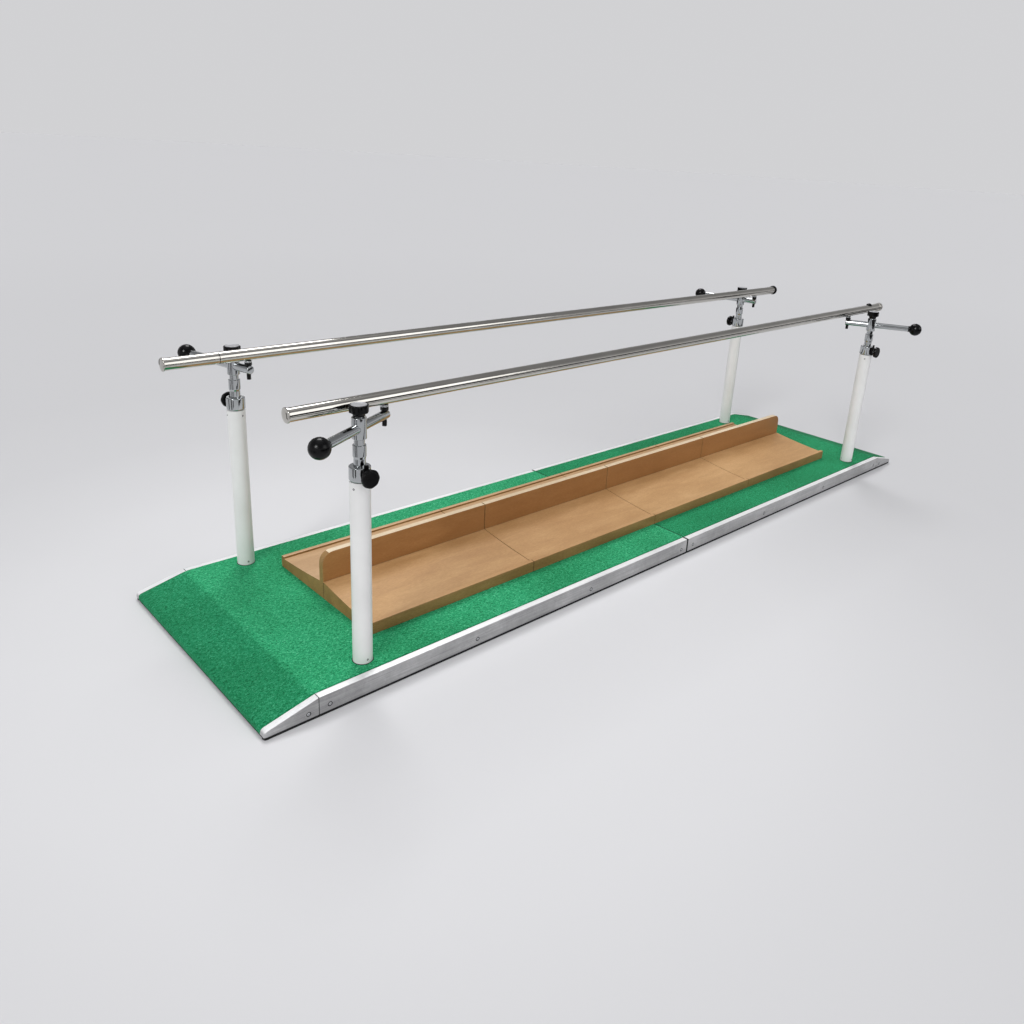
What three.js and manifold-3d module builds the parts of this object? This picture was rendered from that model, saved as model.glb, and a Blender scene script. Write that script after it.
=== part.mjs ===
// Walking parallel bars on a carpeted platform, with a four-part leg board and a divider.
// Millimetres. +X runs along the bars, +Y across to the far row, +Z up.
// The origin is on the floor, under the middle of the platform.
// Near is the -Y row and far the +Y row; left is the -X end and right the +X end.

import * as THREE from 'three';
import { mergeVertices } from 'three/addons/utils/BufferGeometryUtils.js';
import Module from 'manifold-3d';

// Fits
const restGap = 0.3; // between pieces that rest on or butt against each other
const slideGap = 0.3; // radial, between a sliding or turning piece and its bore
const overrun = 2; // how far a cut runs past the face it opens
const weld = 0.0001; // points closer than this are one point

// Platform
const platformWidth = 960;
const sectionLength = 1688; // from the middle joint to the knee of the ramp
const rampLength = 167;
const sectionJoint = 5.6; // open joint between the trims of the two sections
const carpetSeam = 1.2;
const matThickness = 4;
const matInset = 3;
const deckTop = 61;
const deckThickness = 18;
const carpetThickness = 6;
const carpetNoseTop = 27; // carpet height at the tip of the ramp
const carpetNoseRound = 8;
const trimWall = 4;
const trimFlange = 24;
const trimRound = 9; // outer top corner of the side trim
const trimNoseRound = 9;
const trimNoseWall = 5;
const trimKneeSeam = 0.8;

// Battens and post blocks below the deck
const battenWidth = 44;
const runnerWidth = 36;
const lapWidth = 60; // batten below the middle joint
const crossBattens = 4; // between the lap and the knee, per section
const postBlockLength = 120;
const postBlockFloor = 6;

// Posts
const postInset = 193; // from the knee of the ramp to the post's axis
const postSetIn = 85; // from the platform's side to the post's axis
const postRadius = 30;
const postWall = 3;
const postHoleClearance = 0.6; // radial, in the deck
const carpetHoleClearance = 3; // radial, in the carpet

// Collars that clamp the masts
const collarProud = 1; // beyond the post
const collarHeight = 44;
const collarChamfer = 4;
const collarRim = 1.5;
const collarSpigot = 30; // depth of the spigot in the post
const blockWidth = 20;
const blockDepth = 6; // beyond the collar
const blockBelow = 2; // from the collar's lower and upper edge to the block
const blockRound = 3;
const tabRise = 11;
const tabWidth = 14;
const tabThickness = 5;
const tabRound = 3;

// Masts
const mastRadius = 17;
const mastWall = 2;
const mastDepth = 400; // inside the post
const mastShown = 80; // between the collar and the head
const mastRingHeight = 38;
const mastRingProud = 2.2;
const mastRingChamfer = 5;
const neckHeight = 18; // between the ring and the head
const neckStep = 2;
const journalRadius = 12; // turning journal inside the head
const journalHeight = 11;
const indexHoleRadius = 4;
const indexHoleDrop = 16; // from the ring to the first hole
const indexPitch = 75;
const indexHoles = 5;

// Heads that turn on the masts and hold the arms
const headWall = 6.4; // beside the arm's bore
const headWeb = 4.4; // between the journal's bore and the arm's bore
const headCrown = 17.7; // above the arm's bore
const headChamfer = 2;
const headWasherRadius = 13;
const headWasherHeight = 1.7;

// Lobed clamp knobs
const knobRadius = 27.6;
const knobLobes = 8;
const knobFluteDepth = 2;
const topKnobRimHeight = 23;
const sideKnobRimHeight = 14;
const knobBevel = 2;
const knobHubRadius = 18.5;
const knobHubHeight = 11;
const knobHubTaper = 2;
const knobCapRadius = 22;
const knobCapHeight = 0.8;
const knobLift = 0.3; // gap under the hub
const topStemRadius = 5;
const topStemClearance = 0.4;
const sideStemRadius = 4;
const sideStemClearance = 0.5;
const sideKnobGap = 5; // from the clamp block to the side knob's hub
const sideKnobHubHeight = 5;
const sideKnobHubRadius = 15;
const sideKnobDrop = 1; // below the middle of the collar

// Arms
const armRadius = 14;
const armWall = 2.5;
const armLength = 325; // from the ball's centre to the pivot bolt
const armTail = 11; // beyond the pivot bolt
const armEndWall = 5;
const armEndChamfer = 2;
const ballRadius = 30;
const ferruleProud = 0.6; // beyond the arm
const ferruleLength = 4; // beyond the ball
const ballSpigot = 25; // depth in the arm

// Where each arm holds its handrail, from the mast's axis: along the bars, and in to the walkway
const nearLeftAlong = 122.07;
const nearLeftIn = 62.2;
const nearRightAlong = -55.75;
const nearRightIn = 100.58;
const farAlong = 18.75;
const farIn = 75.2;

// Pivot bolts between the arms and the handrails
const pivotRadius = 4;
const pivotHoleClearance = 0.4;
const screwHeadRadius = 6.9;
const screwHeadHeight = 19;
const screwHeadChamfer = 1.2;
const nutRadius = 12;
const nutHeight = 11;
const washerRadius = 11.5;
const washerHeight = 6.4;
const pivotTip = 7; // above the underside of the handrail
const slotTravel = 9.4; // lengthwise play at the right bolt of the near handrail

// Handrails
const railHeight = 856;
const railRadius = 20;
const railWall = 1.5;
const railOverhang = 470; // rail length beyond the post span, both ends together
const nearRailTail = 310; // from the left end to the left pivot
const farRailTail = 280;
const endDiscProud = 2;
const endDiscEdge = 4;
const endDiscDome = 3;
const sleeveProud = 1.4;
const sleeveLength = 28;
const sleeveRound = 4;
const plugProud = 4.4;
const plugLength = 13;
const plugRound = 4;
const plugSpigot = 24;
const plugClearance = 0.3;
const buttonInset = 125; // from the right end of the near handrail
const buttonRadius = 14;
const buttonEdge = 2; // upright edge above the top of the handrail
const buttonDome = 7;

// Leg boards: far halves carry the divider, near halves butt against it
const boardInset = 85; // from the posts' axes to the ends of the boards
const boardCount = 4;
const boardSeam = 0.7;
const boardNearMargin = 180; // from the platform's side to the boards
const boardFarMargin = 192;
const dividerMiddle = 3;
const dividerThickness = 25;
const dividerHeight = 167.7;
const dividerRound = 46;
const dividerEdge = 3;
const trackHighHeight = 62.7; // walking track beside the divider
const trackLowHeight = 34.7; // walking track at the lip
const trackSag = 3;
const lipHeight = 41.7;
const lipWidth = 18;
const lipRound = 3;

// Facets
const tubeSides = 20;
const armSides = 16;
const smallSides = 12;
const boltSides = 10;
const hexSides = 6;
const indexSides = 6;
const ballRings = 7;
const domeShare = 0.8; // height of the dome halfway out
const roundSteps = 2;
const lobeSteps = 3;
const sagSteps = 4;

// Derived sizes

const quarter = Math.PI / 2;
const halfWidth = platformWidth / 2;
const noseX = sectionLength + rampLength;
const carpetTop = deckTop + carpetThickness;
const deckBottom = deckTop - deckThickness;
const trimTop = deckTop + trimWall;
const trimBase = matThickness + restGap;
const slope = (carpetTop - carpetNoseTop) / rampLength;
const postX = sectionLength - postInset;
const postY = halfWidth - postSetIn;
const postBottom = trimBase + postBlockFloor;
const postBore = postRadius - postWall;
const railLength = 2 * postX + railOverhang;
const railBottom = railHeight - railRadius;
const armHeight = railBottom - restGap - washerHeight - nutHeight - restGap - armRadius;
const armTop = armHeight + armRadius;
const armUnderside = armHeight - armRadius;
const armBore = armRadius - armWall;
const ferruleRadius = armRadius + ferruleProud;
const ferruleEnd = ballRadius + ferruleLength; // from the ball's centre
const headRadius = armRadius + slideGap + headWall;
const headBottom = armHeight - armRadius - slideGap - headWeb - restGap - journalHeight;
const headTop = armHeight + armRadius + slideGap + headCrown;
const neckRadius = mastRadius - neckStep;
const mastRingTop = headBottom - neckHeight;
const mastRingBottom = mastRingTop - mastRingHeight;
const mastRingRadius = mastRadius + mastRingProud;
const mastBore = mastRadius - mastWall;
const indexHoleTop = mastRingBottom - indexHoleDrop;
const collarTop = headBottom - mastShown;
const collarRadius = postRadius + collarProud;
const postTop = collarTop - collarHeight;
const mastBottom = postTop - mastDepth;
const blockReach = collarRadius + blockDepth; // from the mast's axis
const sideKnobReach = blockReach + sideKnobGap;
const endDiscRadius = railRadius + endDiscProud;
const sleeveRadius = railRadius + sleeveProud;
const plugRadius = railRadius + plugProud;
const boardBase = carpetTop + restGap;
const boardSpan = 2 * (postX - boardInset);
const boardLength = boardSpan / boardCount;
const boardNear = boardNearMargin - halfWidth;
const boardFar = halfWidth - boardFarMargin;
const dividerTop = boardBase + dividerHeight;
const trackHigh = boardBase + trackHighHeight;
const trackLow = boardBase + trackLowHeight;
const lipTop = boardBase + lipHeight;

const looks = {
  carpet: { color: 0x2f9a63, roughness: 0.95, metalness: 0 },
  plywood: { color: 0xb08a58, roughness: 0.7, metalness: 0 },
  rubber: { color: 0x161616, roughness: 0.85, metalness: 0 },
  trim: { color: 0xc4c6c8, roughness: 0.4, metalness: 0.8 },
  enamel: { color: 0xf2f2f0, roughness: 0.25, metalness: 0 },
  chrome: { color: 0xc9cccc, roughness: 0.12, metalness: 1 },
  steel: { color: 0xb9b7b2, roughness: 0.22, metalness: 1 },
  plastic: { color: 0x121212, roughness: 0.3, metalness: 0 },
  bolt: { color: 0x1c1d1d, roughness: 0.45, metalness: 0.6 },
  wood: { color: 0xb9885a, roughness: 0.55, metalness: 0 },
};

// Solids

const wasm = await Module();
wasm.setup();

// A closed geometry as a solid that can be joined and cut
function solid(geometry) {
  const bare = geometry.index ? geometry.toNonIndexed() : geometry.clone();
  bare.deleteAttribute('normal');
  bare.deleteAttribute('uv');
  const merged = mergeVertices(bare, weld);
  const corners = merged.index.array;
  const faces = [];
  for (let i = 0; i < corners.length; i += 3) {
    const [a, b, c] = [corners[i], corners[i + 1], corners[i + 2]];
    if (a !== b && b !== c && c !== a) faces.push(a, b, c);
  }
  return new wasm.Manifold(
    new wasm.Mesh({
      numProp: 3,
      vertProperties: merged.attributes.position.array,
      triVerts: new Uint32Array(faces),
    }),
  );
}

function geometryOf(body) {
  const mesh = body.getMesh();
  const geometry = new THREE.BufferGeometry();
  geometry.setAttribute('position', new THREE.BufferAttribute(mesh.vertProperties, 3));
  geometry.setIndex(new THREE.BufferAttribute(mesh.triVerts, 1));
  geometry.computeVertexNormals();
  return geometry;
}

function join(...bodies) {
  return bodies.reduce((sum, body) => sum.add(body));
}

// Revolved solid about +Z from a profile of [radius, height], listed upwards on the outside
function turned(profile, sides) {
  const points = profile.map(([radius, height]) => new THREE.Vector2(radius, height));
  return new THREE.LatheGeometry(points, sides).rotateX(quarter);
}

// Round bar about +Z
function rod(radius, bottom, top, sides) {
  return turned([[0, bottom], [radius, bottom], [radius, top], [0, top]], sides);
}

// Corner radius of a polygonal bore whose flats clear a shaft
function bore(radius, sides) {
  return radius / Math.cos(Math.PI / sides);
}

function box(x0, x1, y0, y1, z0, z1) {
  const block = new THREE.BoxGeometry(x1 - x0, y1 - y0, z1 - z0);
  return block.translate((x0 + x1) / 2, (y0 + y1) / 2, (z0 + z1) / 2);
}

// Closed outline from [x, y, round] corners; round is the distance the rounding takes on each side
function outline(corners) {
  const shape = new THREE.Shape();
  corners.forEach(([x, y, round = 0], i) => {
    const corner = new THREE.Vector2(x, y);
    const before = new THREE.Vector2(...corners.at(i - 1));
    const after = new THREE.Vector2(...corners[(i + 1) % corners.length]);
    const from = before.sub(corner).setLength(round).add(corner);
    const to = after.sub(corner).setLength(round).add(corner);
    if (i === 0) shape.moveTo(from.x, from.y);
    else shape.lineTo(from.x, from.y);
    if (round > 0) shape.quadraticCurveTo(x, y, to.x, to.y);
  });
  shape.closePath();
  return shape;
}

function extruded(shape, depth) {
  return new THREE.ExtrudeGeometry(shape, {
    depth,
    bevelEnabled: false,
    curveSegments: roundSteps,
  });
}

// Outline in Y and Z, extruded from x0 to x1
function alongX(corners, x0, x1) {
  const basis = new THREE.Matrix4().makeBasis(
    new THREE.Vector3(0, 1, 0),
    new THREE.Vector3(0, 0, 1),
    new THREE.Vector3(1, 0, 0),
  );
  return extruded(outline(corners), x1 - x0).applyMatrix4(basis).translate(x0, 0, 0);
}

// Outline in X and Z, extruded from y0 to y1
function alongY(corners, y0, y1) {
  const basis = new THREE.Matrix4().makeBasis(
    new THREE.Vector3(1, 0, 0),
    new THREE.Vector3(0, 0, 1),
    new THREE.Vector3(0, -1, 0),
  );
  return extruded(outline(corners), y1 - y0).applyMatrix4(basis).translate(0, y1, 0);
}

// Sorted pair, for spans that run towards either end
function span(a, b) {
  return a < b ? [a, b] : [b, a];
}

const object = new THREE.Group();

function place(name, body, look, parent = object) {
  const mesh = new THREE.Mesh(geometryOf(body), new THREE.MeshStandardMaterial(looks[look]));
  mesh.name = name;
  parent.add(mesh);
  return mesh;
}

// Platform: side is -1 for the left section and 1 for the right one

// Plywood deck with its ramp, battens and post blocks
function deck(side) {
  const inner = sectionJoint / 2;
  const tip = noseX - carpetThickness - restGap;
  const fall = slope * (tip - sectionLength);
  const edge = halfWidth - trimWall - restGap;
  const plate = alongY(
    [
      [side * inner, deckBottom],
      [side * sectionLength, deckBottom],
      [side * tip, Math.max(deckBottom - fall, trimBase)],
      [side * tip, deckTop - fall],
      [side * sectionLength, deckTop],
      [side * inner, deckTop],
    ],
    -edge,
    edge,
  );
  let body = solid(plate).add(battens(side, edge));
  for (const row of [-1, 1]) {
    const hole = rod(
      bore(postRadius + postHoleClearance, tubeSides),
      postBottom - restGap,
      deckTop + overrun,
      tubeSides,
    );
    body = body.subtract(solid(hole.translate(side * postX, row * postY, 0)));
  }
  return body;
}

// Longitudinal runners, cross battens and the blocks that the posts stand in.
// The left section also has the lap batten below the middle joint.
function battens(side, edge) {
  const start = lapWidth / 2 + restGap;
  const pieces = [];
  const beam = (x0, x1, y0, y1, top = deckBottom + deckThickness / 2) => {
    const [low, high] = span(side * x0, side * x1);
    pieces.push(solid(box(low, high, y0, y1, trimBase, top)));
  };
  for (const row of [-1, 1]) {
    const [low, high] = span(row * (edge - runnerWidth), row * edge);
    beam(start, sectionLength, low, high);
    const [blockLow, blockHigh] = span(row * (postY - postBlockLength / 2), row * edge);
    beam(postX - postBlockLength / 2, postX + postBlockLength / 2, blockLow, blockHigh);
  }
  const pitch = (sectionLength - battenWidth - start) / (crossBattens + 1);
  for (let i = 0; i <= crossBattens + 1; i++) {
    beam(start + i * pitch, start + i * pitch + battenWidth, -edge, edge);
  }
  if (side < 0) {
    beam(-lapWidth / 2, lapWidth / 2, -edge, edge, deckBottom - restGap);
    beam(sectionJoint / 2, start + battenWidth, -edge, edge);
  }
  return join(...pieces);
}

// Carpet over the deck and the ramp, turned down over the tip
function carpet(side) {
  const inner = carpetSeam / 2;
  const edge = halfWidth - trimFlange - restGap;
  const tip = noseX - carpetThickness;
  const under = deckTop + restGap;
  const sheet = alongY(
    [
      [side * inner, under],
      [side * inner, carpetTop],
      [side * sectionLength, carpetTop],
      [side * noseX, carpetNoseTop, carpetNoseRound],
      [side * noseX, trimBase],
      [side * tip, trimBase],
      [side * tip, under - slope * (tip - sectionLength)],
      [side * sectionLength, under],
    ],
    -edge,
    edge,
  );
  let body = solid(sheet);
  for (const row of [-1, 1]) {
    const radius = bore(postRadius + carpetHoleClearance, tubeSides);
    const hole = rod(radius, deckTop - overrun, carpetTop + overrun, tubeSides);
    body = body.subtract(solid(hole.translate(side * postX, row * postY, 0)));
  }
  return body;
}

// Angle section of the side trim in Y and Z, with its web down to the given height
function trimSection(row, base) {
  return [
    [row * (halfWidth - trimWall), base],
    [row * halfWidth, base],
    [row * halfWidth, trimTop, trimRound],
    [row * (halfWidth - trimFlange), trimTop],
    [row * (halfWidth - trimFlange), deckTop + restGap],
    [row * (halfWidth - trimWall), deckTop + restGap],
  ];
}

function sideRail(side, row) {
  const [low, high] = span((side * sectionJoint) / 2, side * sectionLength);
  return solid(alongX(trimSection(row, trimBase), low, high));
}

// The same angle section running down the ramp, with a closed, rounded nose
function rampRail(side, row) {
  const start = sectionLength + trimKneeSeam;
  const fall = slope * rampLength;
  const [low, high] = span(0, side * (noseX - sectionLength));
  const section = alongX(trimSection(row, trimBase - fall), low, high);
  const tilt = new THREE.Matrix4().makeShear(0, -side * slope, 0, 0, 0, 0);
  section.applyMatrix4(tilt).translate(side * sectionLength, 0, 0);
  const [inner, outer] = span(row * (halfWidth - trimFlange), row * halfWidth);
  const startTop = trimTop - slope * trimKneeSeam;
  const profile = alongY(
    [
      [side * start, trimBase],
      [side * noseX, trimBase, trimNoseRound / 2],
      [side * noseX, trimTop - fall, trimNoseRound],
      [side * start, startTop],
    ],
    inner,
    outer,
  );
  const [noseLow, noseHigh] = span(side * (noseX - trimNoseWall), side * (noseX + overrun));
  const nose = box(noseLow, noseHigh, inner, outer, trimBase, trimTop);
  return solid(profile).intersect(join(solid(section), solid(nose)));
}

function rubberMat() {
  const length = noseX - matInset;
  const width = halfWidth - matInset;
  return solid(box(-length, length, -width, width, 0, matThickness));
}

// Posts, collars and masts, about their own axis

function post() {
  return solid(
    turned(
      [
        [postBore, postBottom],
        [postRadius, postBottom],
        [postRadius, postTop],
        [postBore, postTop],
        [postBore, postBottom],
      ],
      tubeSides,
    ),
  );
}

// Chrome collar with its spigot in the post, and the clamp block towards +X
function collar() {
  const passage = bore(mastRadius + slideGap, armSides);
  const spigot = (postBore - slideGap) * Math.cos(Math.PI / tubeSides);
  const seat = postTop + restGap;
  const ring = turned(
    [
      [0, postTop - collarSpigot],
      [spigot, postTop - collarSpigot],
      [spigot, seat],
      [collarRadius - collarChamfer, seat],
      [collarRadius, seat + collarChamfer],
      [collarRadius, collarTop - collarRim],
      [collarRadius - collarRim, collarTop],
      [0, collarTop],
    ],
    tubeSides,
  );
  const block = alongY(
    [
      [collarRadius - tabThickness, seat + blockBelow],
      [blockReach, seat + blockBelow, blockRound],
      [blockReach, collarTop - blockBelow, blockRound],
      [collarRadius - tabThickness, collarTop - blockBelow],
    ],
    -blockWidth / 2,
    blockWidth / 2,
  );
  const tabBase = collarTop - collarRadius / 2;
  const tab = alongX(
    [
      [-tabWidth / 2, tabBase],
      [tabWidth / 2, tabBase],
      [tabWidth / 2, collarTop + tabRise, tabRound],
      [-tabWidth / 2, collarTop + tabRise, tabRound],
    ],
    collarRadius + restGap,
    collarRadius + restGap + tabThickness,
  );
  const mastHole = rod(
    passage,
    postTop - collarSpigot - overrun,
    collarTop + tabRise,
    armSides,
  );
  const stemHole = rod(
    bore(sideStemRadius + sideStemClearance, boltSides),
    0,
    blockReach + overrun,
    boltSides,
  ).rotateY(quarter);
  const knobHeight = postTop + collarHeight / 2 - sideKnobDrop;
  return join(solid(ring), solid(block), solid(tab))
    .subtract(solid(mastHole))
    .subtract(solid(stemHole.translate(0, 0, knobHeight)));
}

// Telescoping mast with its index holes towards +X, its ring and the journal for the head
function mast() {
  const outside = turned(
    [
      [0, mastBottom],
      [mastRadius, mastBottom],
      [mastRadius, mastRingBottom],
      [mastRingRadius, mastRingBottom + mastRingChamfer],
      [mastRingRadius, mastRingTop],
      [neckRadius, mastRingTop],
      [neckRadius, headBottom - restGap],
      [journalRadius, headBottom - restGap],
      [journalRadius, headBottom + journalHeight],
      [0, headBottom + journalHeight],
    ],
    armSides,
  );
  const inside = rod(mastBore, mastBottom - overrun, mastRingBottom, armSides);
  let body = solid(outside).subtract(solid(inside));
  for (let i = 0; i < indexHoles; i++) {
    const hole = rod(indexHoleRadius, 0, mastRadius + overrun, indexSides).rotateY(quarter);
    body = body.subtract(solid(hole.translate(0, 0, indexHoleTop - i * indexPitch)));
  }
  return body;
}

// Turning head: journal bore below, cross bore for the arm along X, stem hole above
function head() {
  const shell = turned(
    [
      [0, headBottom],
      [headRadius - headChamfer, headBottom],
      [headRadius, headBottom + headChamfer],
      [headRadius, headTop - headChamfer],
      [headRadius - headChamfer, headTop],
      [headWasherRadius, headTop],
      [headWasherRadius, headTop + headWasherHeight],
      [0, headTop + headWasherHeight],
    ],
    armSides,
  );
  const journal = rod(
    bore(journalRadius + slideGap, armSides),
    headBottom - overrun,
    headBottom + journalHeight + restGap,
    armSides,
  );
  const reach = headRadius + overrun;
  const cross = rod(bore(armRadius + slideGap, armSides), -reach, reach, armSides);
  const stem = rod(
    bore(topStemRadius + topStemClearance, boltSides),
    armHeight,
    headTop + headWasherHeight + overrun,
    boltSides,
  );
  return solid(shell)
    .subtract(solid(journal))
    .subtract(solid(cross.rotateY(quarter).translate(0, 0, armHeight)))
    .subtract(solid(stem));
}

// Knobs

// Lobed hand wheel on a hub; the hub starts at zero and the wheel is on top of it
function knobBody(hubRadius, hubHeight, rimHeight, capRadius) {
  const shape = new THREE.Shape();
  const steps = knobLobes * lobeSteps;
  const middle = knobRadius - knobBevel - knobFluteDepth / 2;
  for (let i = 0; i < steps; i++) {
    const turn = (i / steps) * 2 * Math.PI;
    const radius = middle + (knobFluteDepth / 2) * Math.cos(knobLobes * turn);
    if (i === 0) shape.moveTo(radius * Math.cos(turn), radius * Math.sin(turn));
    else shape.lineTo(radius * Math.cos(turn), radius * Math.sin(turn));
  }
  shape.closePath();
  const rim = new THREE.ExtrudeGeometry(shape, {
    depth: rimHeight - 2 * knobBevel,
    bevelThickness: knobBevel,
    bevelSize: knobBevel,
    bevelSegments: 1,
  }).translate(0, 0, hubHeight + knobBevel);
  const top = hubHeight + rimHeight;
  const profile = [
    [0, 0],
    [hubRadius - knobHubTaper, 0],
    [hubRadius, hubHeight],
    [hubRadius, hubHeight + rimHeight / 2],
  ];
  if (capRadius > 0) {
    profile.push([capRadius, hubHeight + rimHeight / 2]);
    profile.push([capRadius, top + knobCapHeight]);
    profile.push([0, top + knobCapHeight]);
  } else {
    profile.push([0, hubHeight + rimHeight / 2]);
  }
  return join(solid(rim), solid(turned(profile, smallSides)));
}

// Knob on top of a head, with its stem down to the arm
function topKnob() {
  const base = headTop + headWasherHeight + knobLift;
  const stem = rod(topStemRadius, armTop + restGap - base, knobHubHeight, boltSides);
  const wheel = knobBody(knobHubRadius, knobHubHeight, topKnobRimHeight, knobCapRadius);
  return join(wheel, solid(stem));
}

// Knob on the side of a collar, along +Z here, with its stem in to the mast
function sideKnob() {
  const tip = mastRadius + slideGap + restGap;
  const stem = rod(sideStemRadius, tip - sideKnobReach, sideKnobHubHeight, boltSides);
  const wheel = knobBody(sideKnobHubRadius, sideKnobHubHeight, sideKnobRimHeight, 0);
  return join(wheel, solid(stem));
}

// Arms, along +X at the height of the arm's axis, from the mast's axis at zero

function arm(reach) {
  const start = reach - armLength + ferruleEnd + restGap;
  const end = reach + armTail;
  const outside = turned(
    [
      [0, start],
      [armRadius, start],
      [armRadius, end - armEndChamfer],
      [armRadius - armEndChamfer, end],
      [0, end],
    ],
    armSides,
  );
  const inside = rod(armBore, start - overrun, end - armEndWall, armSides);
  const hole = rod(
    bore(pivotRadius + pivotHoleClearance, boltSides),
    -armRadius - overrun,
    armRadius + overrun,
    boltSides,
  );
  return solid(outside.rotateY(quarter))
    .subtract(solid(inside.rotateY(quarter)))
    .subtract(solid(hole.translate(reach, 0, 0)));
}

// Ball grip with its ferrule and its spigot in the arm
function armBall(reach) {
  const profile = [[0, -ballRadius]];
  const neck = Math.acos(ferruleRadius / ballRadius);
  const sweep = neck + quarter;
  for (let i = 1; i <= ballRings; i++) {
    const angle = -quarter + (sweep * i) / ballRings;
    profile.push([ballRadius * Math.cos(angle), ballRadius * Math.sin(angle)]);
  }
  const spigot = (armBore - slideGap) * Math.cos(Math.PI / armSides);
  profile.push([ferruleRadius, ferruleEnd]);
  profile.push([spigot, ferruleEnd]);
  profile.push([spigot, ferruleEnd + ballSpigot]);
  profile.push([0, ferruleEnd + ballSpigot]);
  return solid(turned(profile, armSides).rotateY(quarter).translate(reach - armLength, 0, 0));
}

// Cap screw from below the arm, with the nut and the washer that carry the handrail
function pivotBolt() {
  const seat = armUnderside - restGap - armHeight;
  const foot = seat - screwHeadHeight;
  const under = armTop + restGap - armHeight;
  const lift = under + nutHeight + washerHeight;
  const tip = railBottom + pivotTip - armHeight;
  const screw = turned(
    [
      [0, foot],
      [screwHeadRadius - screwHeadChamfer, foot],
      [screwHeadRadius, foot + screwHeadChamfer],
      [screwHeadRadius, seat],
      [pivotRadius, seat],
      [pivotRadius, tip],
      [0, tip],
    ],
    boltSides,
  );
  const nut = rod(nutRadius, under, under + nutHeight, hexSides);
  const washer = rod(washerRadius, under + nutHeight, lift, smallSides);
  return join(solid(screw), solid(nut), solid(washer));
}

// Handrails, along +X from the left pivot, about their own axis

// Domed button on top of the near rail
function railButton(place) {
  const edge = railRadius + buttonEdge;
  const button = turned(
    [
      [0, 0],
      [buttonRadius, 0],
      [buttonRadius, edge],
      [buttonRadius / 2, edge + buttonDome * domeShare],
      [0, edge + buttonDome],
    ],
    smallSides,
  );
  return solid(button.translate(place, 0, 0));
}

function pivotSlot(travel) {
  const radius = bore(pivotRadius + pivotHoleClearance, boltSides);
  const ends = [-travel / 2, travel / 2].map((x) =>
    solid(rod(radius, -railRadius - overrun, 0, boltSides).translate(x, 0, 0)),
  );
  const flat = pivotRadius + pivotHoleClearance;
  const middle = box(-travel / 2, travel / 2, -flat, flat, -railRadius - overrun, 0);
  return travel > 0 ? join(...ends, solid(middle)) : ends[0];
}

// Outer form of a rail with a domed disc at its left end
function railOutside(tail, rightEnd) {
  return turned(
    [
      [0, -tail],
      [endDiscRadius / 2, -tail + endDiscDome / 4],
      [endDiscRadius, -tail + endDiscDome],
      [endDiscRadius, -tail + endDiscDome + endDiscEdge],
      [railRadius, -tail + endDiscDome + endDiscEdge],
      ...rightEnd,
    ],
    tubeSides,
  );
}

function handrail(tail, spacing, travel, closed) {
  const end = railLength - tail;
  const rightEnd = closed
    ? [
        [railRadius, end - sleeveLength],
        [sleeveRadius, end - sleeveLength],
        [sleeveRadius, end - sleeveRound],
        [sleeveRadius - sleeveRound, end],
        [0, end],
      ]
    : [
        [railRadius, end - plugLength],
        [0, end - plugLength],
      ];
  const insideEnd = closed ? end - sleeveRound : end + overrun;
  const inside = rod(
    railRadius - railWall,
    -tail + endDiscDome + endDiscEdge,
    insideEnd,
    tubeSides,
  );
  let tube = solid(railOutside(tail, rightEnd).rotateY(quarter));
  if (closed) tube = join(tube, railButton(end - buttonInset));
  const left = pivotSlot(0);
  const right = pivotSlot(travel).translate([spacing, 0, 0]);
  return tube.subtract(solid(inside.rotateY(quarter))).subtract(left).subtract(right);
}

// Black end plug of the far rail
function railPlug(tail) {
  const end = railLength - tail;
  const seat = end - plugLength + restGap;
  const spigot = (railRadius - railWall - plugClearance) * Math.cos(Math.PI / tubeSides);
  const profile = [
    [0, seat - plugSpigot],
    [spigot, seat - plugSpigot],
    [spigot, seat],
    [plugRadius, seat],
    [plugRadius, end - plugRound],
    [plugRadius - plugRound, end],
    [0, end],
  ];
  return solid(turned(profile, tubeSides).rotateY(quarter));
}

// Leg boards

// Track from the divider's foot down to the lip, row -1 near and 1 far
function trackProfile(row, inner, outer) {
  const lip = outer - row * lipWidth;
  const points = [];
  for (let i = 0; i <= sagSteps; i++) {
    const share = i / sagSteps;
    const sag = 4 * share * (1 - share) * trackSag;
    points.push([
      inner + (lip - inner) * share,
      trackHigh + (trackLow - trackHigh) * share - sag,
    ]);
  }
  return [
    [inner, boardBase],
    ...points,
    [lip, lipTop, lipRound / 2],
    [outer, lipTop, lipRound],
    [outer, boardBase],
  ];
}

function boardEnds(index) {
  const start = -boardSpan / 2 + index * boardLength;
  return [start + boardSeam / 2, start + boardLength - boardSeam / 2];
}

function nearBoard(index) {
  const [x0, x1] = boardEnds(index);
  const inner = dividerMiddle - dividerThickness / 2 - boardSeam;
  return solid(alongX(trackProfile(-1, inner, boardNear), x0, x1));
}

// Far half with the divider; the divider's top is rounded at the two outer ends
function farBoard(index) {
  const [x0, x1] = boardEnds(index);
  const y0 = dividerMiddle - dividerThickness / 2;
  const y1 = dividerMiddle + dividerThickness / 2;
  const leftRound = index === 0 ? dividerRound : 0;
  const rightRound = index === boardCount - 1 ? dividerRound : 0;
  const sides = alongY(
    [
      [x0, boardBase],
      [x1, boardBase],
      [x1, dividerTop, rightRound],
      [x0, dividerTop, leftRound],
    ],
    y0,
    y1,
  );
  const section = alongX(
    [
      [y0, boardBase],
      [y1, boardBase],
      [y1, dividerTop, dividerEdge],
      [y0, dividerTop, dividerEdge],
    ],
    x0,
    x1,
  );
  const divider = solid(sides).intersect(solid(section));
  return divider.add(solid(alongX(trackProfile(1, y0, boardFar), x0, x1)));
}

// Assembly

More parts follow.
